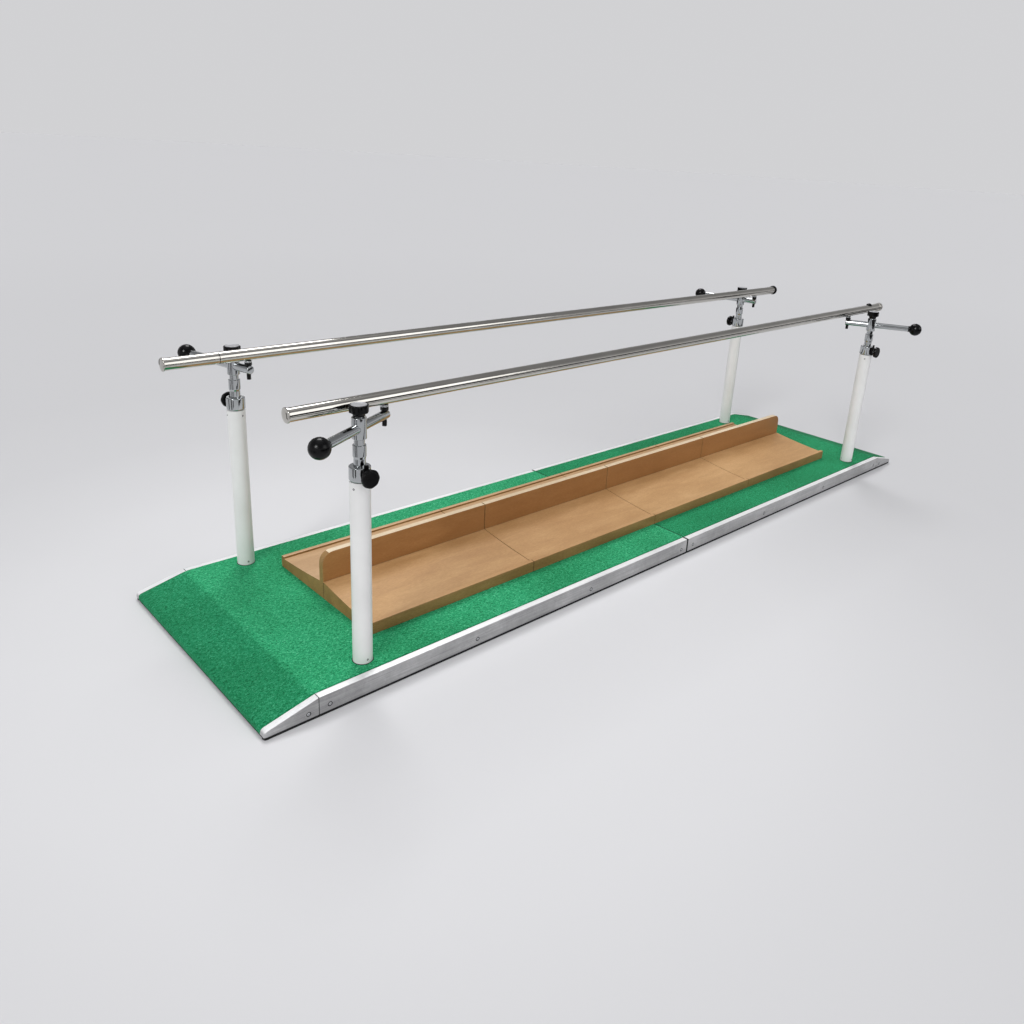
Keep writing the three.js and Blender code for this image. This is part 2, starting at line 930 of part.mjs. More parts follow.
const corners = [
  { name: 'near_left', side: -1, row: -1, along: nearLeftAlong, inwards: nearLeftIn },
  { name: 'near_right', side: 1, row: -1, along: nearRightAlong, inwards: nearRightIn },
  { name: 'far_left', side: -1, row: 1, along: farAlong, inwards: farIn },
  { name: 'far_right', side: 1, row: 1, along: farAlong, inwards: farIn },
];

function pivotOf({ side, row, along, inwards }) {
  return new THREE.Vector2(side * postX + along, row * (postY - inwards));
}

function addPlatform() {
  place('rubber_mat', rubberMat(), 'rubber');
  for (const [side, end] of [[-1, 'left'], [1, 'right']]) {
    place(`deck_${end}`, deck(side), 'plywood');
    place(`carpet_${end}`, carpet(side), 'carpet');
    for (const [row, edge] of [[-1, 'near'], [1, 'far']]) {
      place(`side_rail_${edge}_${end}`, sideRail(side, row), 'trim');
      place(`ramp_rail_${edge}_${end}`, rampRail(side, row), 'trim');
    }
  }
}

function addCorner(corner) {
  const column = new THREE.Group();
  column.position.set(corner.side * postX, corner.row * postY, 0);
  object.add(column);
  place(`post_${corner.name}`, post(), 'enamel', column);

  // The clamp block and its knob point away from the walkway
  const clamp = new THREE.Group();
  clamp.rotation.z = corner.row * quarter;
  column.add(clamp);
  place(`collar_${corner.name}`, collar(), 'chrome', clamp);
  place(`mast_${corner.name}`, mast(), 'chrome', clamp);
  const knob = place(`collar_knob_${corner.name}`, sideKnob(), 'plastic', clamp);
  knob.rotation.y = quarter;
  knob.position.set(sideKnobReach, 0, postTop + collarHeight / 2 - sideKnobDrop);

  const reach = Math.hypot(corner.along, corner.inwards);
  const swivel = new THREE.Group();
  swivel.rotation.z = Math.atan2(-corner.row * corner.inwards, corner.along);
  column.add(swivel);
  place(`head_${corner.name}`, head(), 'chrome', swivel);
  const top = place(`top_knob_${corner.name}`, topKnob(), 'plastic', swivel);
  top.position.z = headTop + headWasherHeight + knobLift;
  const carrier = new THREE.Group();
  carrier.position.z = armHeight;
  swivel.add(carrier);
  place(`arm_${corner.name}`, arm(reach), 'chrome', carrier);
  place(`arm_ball_${corner.name}`, armBall(reach), 'plastic', carrier);
  const bolt = place(`pivot_bolt_${corner.name}`, pivotBolt(), 'bolt', carrier);
  bolt.position.x = reach;
}

// A handrail lies over the pivots of its two corners
function addHandrail(name, left, right, tail, travel, closed) {
  const from = pivotOf(left);
  const to = pivotOf(right);
  const line = to.clone().sub(from);
  const group = new THREE.Group();
  group.position.set(from.x, from.y, railHeight);
  group.rotation.z = line.angle() > Math.PI ? line.angle() - 2 * Math.PI : line.angle();
  object.add(group);
  place(`handrail_${name}`, handrail(tail, line.length(), travel, closed), 'steel', group);
  if (!closed) place(`handrail_plug_${name}`, railPlug(tail), 'plastic', group);
}

function addBoards() {
  for (let index = 0; index < boardCount; index++) {
    place(`leg_board_near_${index + 1}`, nearBoard(index), 'wood');
    place(`leg_board_far_${index + 1}`, farBoard(index), 'wood');
  }
}

addPlatform();
corners.forEach(addCorner);
const [nearLeft, nearRight, farLeft, farRight] = corners;
addHandrail('near', nearLeft, nearRight, nearRailTail, slotTravel, true);
addHandrail('far', farLeft, farRight, farRailTail, 0, false);
addBoards();

export default object;
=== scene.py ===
import math

import bmesh
import bpy
from mathutils import Matrix, Vector, noise


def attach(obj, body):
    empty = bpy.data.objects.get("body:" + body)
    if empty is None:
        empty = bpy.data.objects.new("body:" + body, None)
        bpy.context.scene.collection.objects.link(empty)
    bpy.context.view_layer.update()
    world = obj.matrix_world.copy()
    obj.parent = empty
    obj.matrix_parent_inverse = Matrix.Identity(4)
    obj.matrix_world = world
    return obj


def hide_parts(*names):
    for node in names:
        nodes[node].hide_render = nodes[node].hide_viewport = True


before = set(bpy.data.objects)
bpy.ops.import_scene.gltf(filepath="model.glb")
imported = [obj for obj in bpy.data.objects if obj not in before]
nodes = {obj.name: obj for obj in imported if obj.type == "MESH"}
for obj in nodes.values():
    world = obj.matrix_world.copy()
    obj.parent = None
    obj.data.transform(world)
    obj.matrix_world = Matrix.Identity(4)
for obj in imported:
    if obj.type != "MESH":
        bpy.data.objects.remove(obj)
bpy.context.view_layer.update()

MM = 0.001

# Sizes of the model, in millimetres
REST = 0.3
HALF_WIDTH = 480
SECTION = 1688
RAMP = 167
NOSE = SECTION + RAMP
JOINT = 5.6
CARPET_SEAM = 5.6
DECK_TOP = 61
CARPET = 6
CARPET_TOP = DECK_TOP + CARPET
NOSE_TOP = 27
TRIM_BASE = 9
TRIM_TOP = 65
TRIM_WALL = 4
TRIM_FLANGE = 24
SLOPE = (CARPET_TOP - NOSE_TOP) / RAMP
CARPET_HALF = HALF_WIDTH - TRIM_FLANGE - REST
POST_X = 1495
POST_Y = 395
POST_R = 30
POST_TOP = 650
COLLAR_R = 31
COLLAR_TOP = 694
ARM_Z = 804
ARM_R = 14
ARM_LENGTH = 325
ARM_TAIL = 11
BALL_R = 30
HEAD_R = 20.7
HEAD_BOTTOM = 774
HEAD_TOP = 836
KNOB_BASE = 838
KNOB_R = 27.6
SIDE_KNOB_X = 42
SIDE_KNOB_Z = 671
STEM_BORE = 4.6
BOLT_BORE = 4.4
RAIL_Z = 856
RAIL_R = 20
RAIL_LENGTH = 3460
NEAR_TAIL = 310
FAR_TAIL = 280
SLOT_TRAVEL = 9.4


# Mesh building, in millimetres

def linear(r, g, b):
    """Linear colour from 0 to 255 display values."""
    out = []
    for c in (r, g, b):
        c /= 255
        out.append(c / 12.92 if c <= 0.04045 else ((c + 0.055) / 1.055) ** 2.4)
    return (*out, 1.0)


def smooth_by_angle(bm, angle):
    """Smooth faces, with sharp edges where two faces meet at more than the angle in degrees."""
    limit = math.radians(angle)
    for f in bm.faces:
        f.smooth = True
    for e in bm.edges:
        if len(e.link_faces) == 2 and e.calc_face_angle(0.0) > limit:
            e.smooth = False


def mesh_of(name, verts, faces, angle=32):
    """Clean mesh in metres from verts in millimetres."""
    mesh = bpy.data.meshes.new(name)
    bm = bmesh.new()
    vs = [bm.verts.new(Vector(v) * MM) for v in verts]
    for f in faces:
        if len(set(f)) > 2:
            bm.faces.new([vs[i] for i in f])
    bmesh.ops.remove_doubles(bm, verts=bm.verts, dist=1e-6)
    bmesh.ops.dissolve_degenerate(bm, edges=bm.edges, dist=1e-7)
    bmesh.ops.recalc_face_normals(bm, faces=bm.faces)
    smooth_by_angle(bm, angle)
    bm.to_mesh(mesh)
    bm.free()
    return mesh


def resmooth(mesh, angle=32):
    bm = bmesh.new()
    bm.from_mesh(mesh)
    smooth_by_angle(bm, angle)
    bm.to_mesh(mesh)
    bm.free()
    return mesh


def rounded(points, steps=6, closed=True):
    """Corners given as (a, b) or (a, b, round).

    The round is the distance that the curve takes on each side of its corner.
    """
    out = []
    count = len(points)
    for i, p in enumerate(points):
        corner = Vector(p[:2])
        r = p[2] if len(p) > 2 else 0
        if r <= 0 or (not closed and i in (0, count - 1)):
            out.append(tuple(corner))
            continue
        before = Vector(points[i - 1][:2])
        after = Vector(points[(i + 1) % count][:2])
        a = corner + (before - corner).normalized() * r
        b = corner + (after - corner).normalized() * r
        for k in range(steps + 1):
            t = k / steps
            q = a * (1 - t) ** 2 + corner * 2 * t * (1 - t) + b * t * t
            out.append(tuple(q))
    return out


def circle(radius, count):
    """Points of a circle, or of a regular polygon with its first corner on +X."""
    turns = [2 * math.pi * k / count for k in range(count)]
    return [(radius * math.cos(a), radius * math.sin(a)) for a in turns]


def lathe(profile, sides=72, closed=False):
    """Verts and faces of a profile of (radius, height) turned about Z."""
    verts, faces = [], []
    for r, z in profile:
        verts += [(x, y, z) for x, y in circle(r, sides)]
    rows = len(profile)
    for i in range(rows if closed else rows - 1):
        j = (i + 1) % rows
        for k in range(sides):
            n = (k + 1) % sides
            faces.append((i * sides + k, i * sides + n, j * sides + n, j * sides + k))
    return verts, faces


def turned(name, profile, sides=72, closed=False, steps=6, angle=32):
    """Turned piece about Z; corners of its profile may carry a round."""
    points = rounded(profile, steps, closed)
    verts, faces = lathe(points, sides, closed)
    return mesh_of(name, verts, faces, angle)


def loft(sections, cap=True):
    """Verts and faces through closed sections with the same number of points."""
    count = len(sections[0])
    verts = [p for s in sections for p in s]
    faces = []
    for i in range(len(sections) - 1):
        for k in range(count):
            n = (k + 1) % count
            a, b = i * count, (i + 1) * count
            faces.append((a + k, a + n, b + n, b + k))
    if cap:
        faces.append(tuple(range(count)))
        faces.append(tuple(range((len(sections) - 1) * count, len(sections) * count)))
    return verts, faces


def prism(name, outline, z0, z1, angle=32):
    """Outline in the XY plane, from z0 to z1."""
    verts, faces = loft([[(x, y, z) for x, y in outline] for z in (z0, z1)])
    return mesh_of(name, verts, faces, angle)


def boxed(name, x0, x1, y0, y1, z0, z1):
    """Plain box between two limits on each axis."""
    return prism(name, [(x0, y0), (x1, y0), (x1, y1), (x0, y1)], z0, z1)


def evaluated(obj, name):
    dg = bpy.context.evaluated_depsgraph_get()
    mesh = bpy.data.meshes.new_from_object(obj.evaluated_get(dg))
    mesh.name = name
    return mesh


def worked(mesh, cutters=(), bevel=0, segments=2, bevel_angle=32, angle=32, join=(), common=()):
    """Mesh after joins, cuts, common parts and a bevel, as a plain mesh."""
    host = bpy.data.objects.new("work", mesh)
    bpy.context.scene.collection.objects.link(host)
    tools = []
    for kind, group in (("UNION", join), ("DIFFERENCE", cutters), ("INTERSECT", common)):
        for item in group:
            tool = bpy.data.objects.new("tool", item)
            bpy.context.scene.collection.objects.link(tool)
            tools.append(tool)
            m = host.modifiers.new("cut", "BOOLEAN")
            m.operation = kind
            m.solver = "EXACT"
            m.object = tool
    if bevel:
        m = host.modifiers.new("bevel", "BEVEL")
        m.width = bevel * MM
        m.segments = segments
        m.limit_method = "ANGLE"
        m.angle_limit = math.radians(bevel_angle)
        m.harden_normals = False
    out = evaluated(host, mesh.name)
    for o in [host, *tools]:
        bpy.data.objects.remove(o)
    return resmooth(out, angle)


def moved(mesh, matrix):
    """A copy of the mesh, moved by a matrix whose offsets are in millimetres."""
    out = mesh.copy()
    m = matrix.copy()
    m.translation *= MM
    out.transform(m)
    return out


def shift(x=0, y=0, z=0):
    return Matrix.Translation((x, y, z))


def spin(degrees, axis="Z"):
    return Matrix.Rotation(math.radians(degrees), 4, axis)


ALONG_X = spin(90, "Y")


def bore(radius, low, high, sides=24, place=None):
    """Cylinder about Z that cuts a hole, moved into its place."""
    mesh = turned("bore", [(0, low), (radius, low), (radius, high), (0, high)], sides)
    return mesh if place is None else moved(mesh, place)


def put(name, mesh, material, body, matrix=None, stands_for=()):
    """One visible piece that rides on a body, and may stand for nodes of the frame."""
    obj = bpy.data.objects.new(name, mesh)
    bpy.context.scene.collection.objects.link(obj)
    if material is not None:
        obj.data.materials.clear()
        obj.data.materials.append(material)
    if matrix is not None:
        m = matrix.copy()
        m.translation *= MM
        obj.matrix_world = m
    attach(obj, body)
    if stands_for:
        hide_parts(*stands_for)
    return obj


# Materials

class Look:
    """Small helper around one node tree."""

    def __init__(self, name):
        self.material = bpy.data.materials.new(name)
        self.material.use_nodes = True
        self.tree = self.material.node_tree
        self.tree.nodes.clear()
        self.out = self.add("OutputMaterial")
        self.bsdf = self.add("BsdfPrincipled")
        self.link(self.bsdf, "BSDF", self.out, "Surface")
        self.coords = self.add("TexCoord")

    def add(self, kind, **values):
        node = self.tree.nodes.new("ShaderNode" + kind)
        for key, value in values.items():
            setattr(node, key, value)
        return node

    def link(self, a, socket_a, b, socket_b):
        self.tree.links.new(a.outputs[socket_a], b.inputs[socket_b])

    def set(self, **values):
        for key, value in values.items():
            self.bsdf.inputs[key.replace("_", " ")].default_value = value
        return self

    def scaled(self, scale, turn=(0, 0, 0)):
        node = self.add("Mapping")
        node.inputs["Scale"].default_value = scale
        node.inputs["Rotation"].default_value = turn
        self.link(self.coords, "Object", node, "Vector")
        return node

    def noise(self, scale, detail=3, rough=0.5, distortion=0.0, stretch=None, turn=(0, 0, 0)):
        node = self.add("TexNoise")
        node.inputs["Scale"].default_value = scale
        node.inputs["Detail"].default_value = detail
        node.inputs["Roughness"].default_value = rough
        node.inputs["Distortion"].default_value = distortion
        if stretch:
            self.link(self.scaled(stretch, turn), "Vector", node, "Vector")
        else:
            self.link(self.coords, "Object", node, "Vector")
        return node, "Fac"

    def ramp(self, source, stops):
        node = self.add("ValToRGB")
        node.color_ramp.elements[0].position = stops[0][0]
        node.color_ramp.elements[0].color = stops[0][1]
        node.color_ramp.elements[1].position = stops[-1][0]
        node.color_ramp.elements[1].color = stops[-1][1]
        for position, colour in stops[1:-1]:
            element = node.color_ramp.elements.new(position)
            element.color = colour
        self.link(*source, node, "Fac")
        return node, "Color"

    def level(self, source, low, high, start=0.3, end=0.7):
        node = self.add("MapRange")
        node.inputs["From Min"].default_value = start
        node.inputs["From Max"].default_value = end
        node.inputs["To Min"].default_value = low
        node.inputs["To Max"].default_value = high
        self.link(*source, node, "Value")
        return node, "Result"

    def facing(self, start, end, axis="Z"):
        """0 to 1 as the surface turns from start to end, by its normal along one axis."""
        shape = self.add("NewGeometry")
        parts = self.add("SeparateXYZ")
        self.link(shape, "Normal", parts, 0)
        return self.level((parts, axis), 0, 1, start, end)

    def mix(self, a, b, factor=0.5, blend="MIX"):
        node = self.add("Mix", data_type="RGBA", blend_type=blend)
        if isinstance(factor, tuple):
            self.tree.links.new(factor[0].outputs[factor[1]], node.inputs[0])
        else:
            node.inputs[0].default_value = factor
        self.tree.links.new(a[0].outputs[a[1]], node.inputs[6])
        self.tree.links.new(b[0].outputs[b[1]], node.inputs[7])
        return node, 2

    def sum(self, a, b, share=1.0):
        node = self.add("Math", operation="MULTIPLY_ADD")
        self.tree.links.new(b[0].outputs[b[1]], node.inputs[0])
        node.inputs[1].default_value = share
        self.tree.links.new(a[0].outputs[a[1]], node.inputs[2])
        return node, 0

    def colour(self, source):
        self.tree.links.new(source[0].outputs[source[1]], self.bsdf.inputs["Base Color"])
        return self

    def roughness(self, source):
        self.tree.links.new(source[0].outputs[source[1]], self.bsdf.inputs["Roughness"])
        return self

    def bump(self, source, strength, distance_mm):
        node = self.add("Bump")
        node.inputs["Strength"].default_value = strength
        node.inputs["Distance"].default_value = distance_mm * MM
        self.tree.links.new(source[0].outputs[source[1]], node.inputs["Height"])
        self.link(node, "Normal", self.bsdf, "Normal")
        return self


def felt_look(name, tones):
    look = Look(name)
    fibre = look.noise(430, 4, 0.6, 0.6)
    streak = look.noise(250, 4, 0.65, 1.0, stretch=(0.5, 1.0, 1.0), turn=(0, 0, 0.5))
    clump = look.noise(120, 3, 0.6, 0.4)
    patch = look.noise(2.1, 3, 0.5)
    height = look.sum(look.sum(fibre, streak, 1.5), clump, 0.5)
    base = look.ramp(look.level(height, 0, 1, 1.22, 1.78), tones)
    tone = look.ramp(patch, [
        (0.34, linear(198, 216, 207)),
        (0.64, linear(255, 255, 255)),
    ])
    # Painted shade: the colour darkens where the carpet slopes away from level, on the ramps
    slope_shade = look.ramp(look.facing(0.968, 0.9985), [
        (0.0, linear(184, 209, 205)),
        (1.0, linear(255, 255, 255)),
    ])
    look.colour(look.mix(look.mix(base, tone, 1.0, "MULTIPLY"), slope_shade, 1.0, "MULTIPLY"))
    look.roughness(look.level(fibre, 0.85, 1.0))
    look.bump(height, 0.8, 1.8)
    look.set(Sheen_Weight=0.12, Sheen_Roughness=0.45)
    look.bsdf.inputs["Sheen Tint"].default_value = linear(150, 225, 185)
    look.bsdf.inputs["Specular IOR Level"].default_value = 0.1
    return look.material


def wood_look(name, tones, coat=0.06):
    look = Look(name)
    figure = look.noise(4.5, 5, 0.6, 0.5, stretch=(1, 5, 5))
    fibres = look.noise(150, 4, 0.65, 0.3, stretch=(0.5, 2.2, 2.2))
    broad = look.noise(1.9, 3, 0.5)
    both = look.sum(figure, fibres, 0.9)
    base = look.ramp(look.level(both, 0, 1, 0.6, 1.3), tones)
    tone = look.ramp(broad, [(0.3, linear(236, 230, 222)), (0.7, linear(255, 255, 255))])
    look.colour(look.mix(base, tone, 1.0, "MULTIPLY"))
    look.roughness(look.level(figure, 0.42, 0.56))
    look.bump(fibres, 0.3, 0.15)
    look.set(Coat_Weight=coat, Coat_Roughness=0.28)
    look.bsdf.inputs["Specular IOR Level"].default_value = 0.35
    return look.material


def chrome_look():
    look = Look("polished_chrome")
    haze = look.noise(45, 4, 0.6)
    smear = look.noise(9, 3, 0.5)
    look.colour(look.ramp(smear, [(0.3, linear(178, 181, 183)), (0.7, linear(192, 195, 196))]))
    look.roughness(look.level(haze, 0.03, 0.09))
    look.bump(haze, 0.03, 0.05)
    look.set(Metallic=1.0)
    return look.material


def stainless_look(name="stainless_tube", stretch=(2, 500, 500), low=0.045, high=0.11):
    look = Look(name)
    lines = look.noise(1, 3, 0.6, 0.0, stretch=stretch)
    smear = look.noise(6, 3, 0.55)
    look.colour(look.ramp(smear, [(0.3, linear(190, 187, 181)), (0.7, linear(206, 203, 197))]))
    look.roughness(look.level(look.sum(lines, smear, 0.6), low, high, 0.5, 1.1))
    look.bump(lines, 0.06, 0.03)
    look.set(Metallic=1.0)
    return look.material


def trim_look():
    look = Look("satin_aluminium_trim")
    lines = look.noise(1, 4, 0.65, 0.0, stretch=(5, 330, 330))
    smear = look.noise(3.5, 4, 0.6)
    scuff = look.noise(42, 5, 0.7, 1.5)
    worn = look.sum(look.sum(smear, scuff, 0.35), lines, 0.7)
    # Painted light: upward faces get a near-white colour and the sides a grey one, lighter on top
    # as if lit from above; the noise is random wear and brushing
    side = look.ramp(look.level(worn, 0, 1, 0.8, 1.25), [
        (0.0, linear(142, 142, 143)),
        (0.5, linear(167, 167, 168)),
        (1.0, linear(194, 194, 195)),
    ])
    top = look.ramp(look.level(worn, 0, 1, 0.8, 1.25), [
        (0.0, linear(232, 232, 234)),
        (0.4, linear(248, 248, 249)),
        (1.0, linear(252, 252, 252)),
    ])
    look.colour(look.mix(side, top, look.facing(0.45, 0.8)))
    look.roughness(look.level(look.sum(lines, smear, 0.7), 0.3, 0.46, 0.6, 1.1))
    look.bump(lines, 0.12, 0.05)
    look.set(Metallic=0.3)
    return look.material


def enamel_look():
    look = Look("white_gloss_enamel")
    peel = look.noise(260, 2, 0.5)
    stain = look.noise(5, 4, 0.6)
    look.colour(look.ramp(stain, [(0.25, linear(222, 222, 221)), (0.6, linear(231, 231, 230))]))
    look.roughness(look.level(stain, 0.3, 0.42))
    look.bump(peel, 0.05, 0.12)
    look.set(Coat_Weight=0.1, Coat_Roughness=0.12)
    look.bsdf.inputs["Specular IOR Level"].default_value = 0.3
    return look.material


def plastic_look(name="black_plastic", low=0.16, high=0.3, tones=((3, 3, 4), (9, 9, 10))):
    look = Look(name)
    grain = look.noise(320, 3, 0.55)
    wear = look.noise(18, 4, 0.6)
    look.colour(look.ramp(wear, [(0.3, linear(*tones[0])), (0.75, linear(*tones[1]))]))
    look.roughness(look.level(wear, low, high))
    look.bump(grain, 0.06, 0.08)
    look.bsdf.inputs["Specular IOR Level"].default_value = 0.2
    return look.material


def cap_look():
    look = Look("grey_knob_cap")
    grain = look.noise(240, 3, 0.55)
    wear = look.noise(40, 4, 0.6)
    look.colour(look.ramp(wear, [(0.3, linear(176, 176, 180)), (0.7, linear(196, 196, 199))]))
    look.roughness(look.level(wear, 0.3, 0.42))
    look.bump(grain, 0.06, 0.08)
    look.set(Metallic=0.35)
    return look.material


def black_steel_look():
    look = Look("black_oxide_steel")
    grain = look.noise(180, 4, 0.6)
    wear = look.noise(60, 4, 0.65)
    look.colour(look.ramp(wear, [(0.35, linear(8, 8, 8)), (0.8, linear(28, 28, 28))]))
    look.roughness(look.level(grain, 0.28, 0.42))
    look.bump(grain, 0.12, 0.08)
    look.set(Metallic=0.6)
    return look.material


def zinc_look():
    look = Look("bright_zinc_screw")
    grain = look.noise(300, 3, 0.6)
    look.colour(look.ramp(grain, [(0.3, linear(168, 170, 172)), (0.7, linear(206, 208, 210))]))
    look.roughness(look.level(grain, 0.2, 0.34))
    look.bump(grain, 0.1, 0.05)
    look.set(Metallic=1.0)
    return look.material


# Black rubber for the mat, also used on the dark pieces that paint shade in seams, joints, screw
# rings and post feet, and under the edges
def rubber_look():
    look = Look("black_rubber")
    grain = look.noise(500, 3, 0.6)
    dust = look.noise(12, 4, 0.6)
    look.colour(look.ramp(dust, [(0.3, linear(6, 6, 6)), (0.8, linear(16, 16, 15))]))
    look.roughness(look.level(dust, 0.78, 0.95))
    look.bump(grain, 0.3, 0.3)
    return look.material


def plywood_look():
    look = Look("deck_plywood")
    figure = look.noise(2.4, 4, 0.6, 1.0, stretch=(1, 9, 9))
    pores = look.noise(70, 3, 0.6, 0.2, stretch=(1, 10, 10))
    look.colour(look.ramp(look.sum(figure, pores, 0.3), [
        (0.4, linear(150, 116, 74)),
        (0.65, linear(182, 148, 102)),
        (0.9, linear(204, 172, 126)),
    ]))
    look.roughness(look.level(figure, 0.6, 0.78))
    look.bump(pores, 0.3, 0.2)
    return look.material


felt_left = felt_look("green_needle_felt", [
    (0.0, linear(14, 104, 62)),
    (0.3, linear(39, 156, 103)),
    (0.7, linear(60, 187, 130)),
    (1.0, linear(114, 221, 173)),
])
felt_right = felt_look("green_needle_felt_darker", [
    (0.0, linear(14, 95, 56)),
    (0.3, linear(26, 130, 81)),
    (0.7, linear(41, 155, 104)),
    (1.0, linear(68, 181, 131)),
])
chrome = chrome_look()
stainless = stainless_look()
sleeve_steel = stainless_look("brushed_sleeve", (600, 2, 2), 0.2, 0.34)
trim_metal = trim_look()
enamel = enamel_look()
plastic = plastic_look()
block_plastic = plastic_look("clamp_block_plastic", 0.24, 0.4, ((5, 5, 6), (14, 14, 15)))
cap_grey = cap_look()
bolt_steel = black_steel_look()
zinc = zinc_look()
rubber = rubber_look()
plywood = plywood_look()
beech = wood_look("beech_face", [
    (0.0, linear(184, 140, 90)),
    (0.5, linear(200, 157, 107)),
    (1.0, linear(216, 175, 126)),
])
# Painted highlight: the far track's wood is a lighter copy of the near track's, with a stronger
# coat
beech_far_highlight = wood_look("beech_far_face", [
    (0.0, linear(194, 152, 106)),
    (0.5, linear(210, 170, 124)),
    (1.0, linear(224, 187, 143)),
], 0.7)
# Painted shade: a darker copy of the beech for the divider's upright faces
beech_divider_shade = wood_look("beech_divider_shade", [
    (0.0, linear(152, 105, 57)),
    (0.5, linear(164, 116, 66)),
    (1.0, linear(176, 129, 77)),
])
# Painted highlight: a pale copy of the beech for the divider's crest
beech_crest_highlight = wood_look("beech_crest_highlight", [
    (0.0, linear(232, 210, 176)),
    (0.5, linear(240, 220, 188)),
    (1.0, linear(246, 229, 201)),
])
beech_edge = wood_look("beech_edge", [
    (0.0, linear(128, 96, 56)),
    (0.5, linear(152, 117, 71)),
    (1.0, linear(176, 140, 89)),
])


def dress(node, material):
    """One material on every slot of a node of the frame."""
    mesh = nodes[node].data
    if not mesh.materials:
        mesh.materials.append(material)
    for i in range(len(mesh.materials)):
        mesh.materials[i] = material
    for slot in nodes[node].material_slots:
        slot.material = material


dress("rubber_mat", rubber)
dress("deck_left", plywood)
dress("deck_right", plywood)


# Carpets

def carpet_line(step=14):
    """Upper line of the carpet in X and Z, from the middle joint over the ramp's tip."""
    tip_round, knee_round, flat_end, ramp_steps = 10, 16, SECTION - 30, 8
    points = []
    x = CARPET_SEAM / 2
    while x < flat_end:
        points.append((x, CARPET_TOP))
        x += step
    knee = rounded([(flat_end, CARPET_TOP), (SECTION, CARPET_TOP, knee_round),
                    (NOSE, NOSE_TOP)], 6, False)
    points.extend(knee[:-1])
    last = Vector(points[-1])
    end = Vector((NOSE, NOSE_TOP))
    stop = end - (end - last).normalized() * tip_round
    for i in range(1, ramp_steps + 1):
        points.append(tuple(last.lerp(stop, i / ramp_steps)))
    curve = rounded([tuple(stop), (NOSE, NOSE_TOP, tip_round), (NOSE, TRIM_BASE)], 6, False)
    points.extend(curve[2:-1])
    points.extend((NOSE, z) for z in (14, 11, TRIM_BASE))
    return points


def carpet(side):
    """One section's carpet: an upper and a lower layer, closed at the rim."""
    end = "left" if side < 0 else "right"
    half = CARPET_HALF
    line = carpet_line()
    # Distance in from the long edges, and how far the pile drops there
    edge = [0, 0.25, 0.9, 2.2, 5]
    drop = [1.9, 1.0, 0.35, 0.05, 0]
    across = [-half + e for e in edge]
    steps = 44
    unevenness = 0.3
    inner = half - edge[-1]
    across += [-inner + 2 * inner * i / steps for i in range(1, steps)]
    across += [half - e for e in reversed(edge)]
    drops = drop + [0] * (steps - 1) + list(reversed(drop))
    verts, faces, normals = [], [], []
    for i in range(len(line)):
        a = Vector(line[max(i - 1, 0)])
        b = Vector(line[min(i + 1, len(line) - 1)])
        d = (b - a).normalized()
        normals.append(Vector((-d.y, d.x)) if d.length else Vector((0, 1)))
    width = len(across)
    for layer in (0, 1):
        for i, (x, z) in enumerate(line):
            n = normals[i]
            for j, y in enumerate(across):
                wave = noise.noise(Vector((x * 0.006 + side * 7, y * 0.008, 0.3)))
                down = drops[j] + unevenness * (0.5 - 0.5 * wave)
                if layer:
                    down = CARPET - 0.35
                elif i == 0:
                    down = max(down, 0.5)
                px = x - n.x * down
                pz = z - n.y * down
                verts.append((side * px, y, max(pz, TRIM_BASE)))
    rows = len(line)
    per = rows * width

    def at(layer, i, j):
        return layer * per + i * width + j

    for i in range(rows - 1):
        for j in range(width - 1):
            faces.append((at(0, i, j), at(0, i + 1, j), at(0, i + 1, j + 1), at(0, i, j + 1)))
            faces.append((at(1, i, j), at(1, i, j + 1), at(1, i + 1, j + 1), at(1, i + 1, j)))
    for i in range(rows - 1):
        for j in (0, width - 1):
            faces.append((at(0, i, j), at(1, i, j), at(1, i + 1, j), at(0, i + 1, j)))
    for j in range(width - 1):
        for i in (0, rows - 1):
            faces.append((at(0, i, j), at(0, i, j + 1), at(1, i, j + 1), at(1, i, j)))
    name, node = f"carpet_felt_{end}", f"carpet_{end}"
    mesh = mesh_of(name, verts, faces, 60)
    holes = [bore(POST_R + 2.6, 50, 80, 64, shift(side * POST_X, row * POST_Y)) for row in (-1, 1)]
    mesh = worked(mesh, holes, angle=60)
    material = felt_left if side < 0 else felt_right
    obj = put(name, mesh, material, "platform", None, [node])


for side in (-1, 1):
    carpet(side)


# Trims

SIDES = ((-1, "left"), (1, "right"))
ROWS = ((-1, "near"), (1, "far"))


def trim_section(row, top, base, out=HALF_WIDTH, closed=False):
    """Outline in Y and Z of the angle trim; closed down to its base at the nose."""
    face = HALF_WIDTH - TRIM_FLANGE
    web = out - TRIM_WALL
    under = top - TRIM_WALL + REST
    upper = rounded([(out, base), (out, top, 4.5), (face, top, 1.2), (face, under)], 6, False)
    if closed:
        lower = [(face, base + 0.01), (face + 8, base), (web, base)]
    else:
        lower = [(web, under), (web, under - 1), (web, base)]
    return [(row * y, z) for y, z in upper + lower]


def side_trim(side, row):
    x0, x1, chamfer = JOINT / 2 + 2.4, SECTION, 0.5
    sections = []
    for x, inset in ((x0, chamfer), (x0 + chamfer, 0), (x1 - chamfer, 0), (x1, chamfer)):
        outline = trim_section(row, TRIM_TOP - inset * 0.6, TRIM_BASE, HALF_WIDTH - inset)
        sections.append([(side * x, y, z) for y, z in outline])
    return mesh_of("side_trim", *loft(sections), 28)


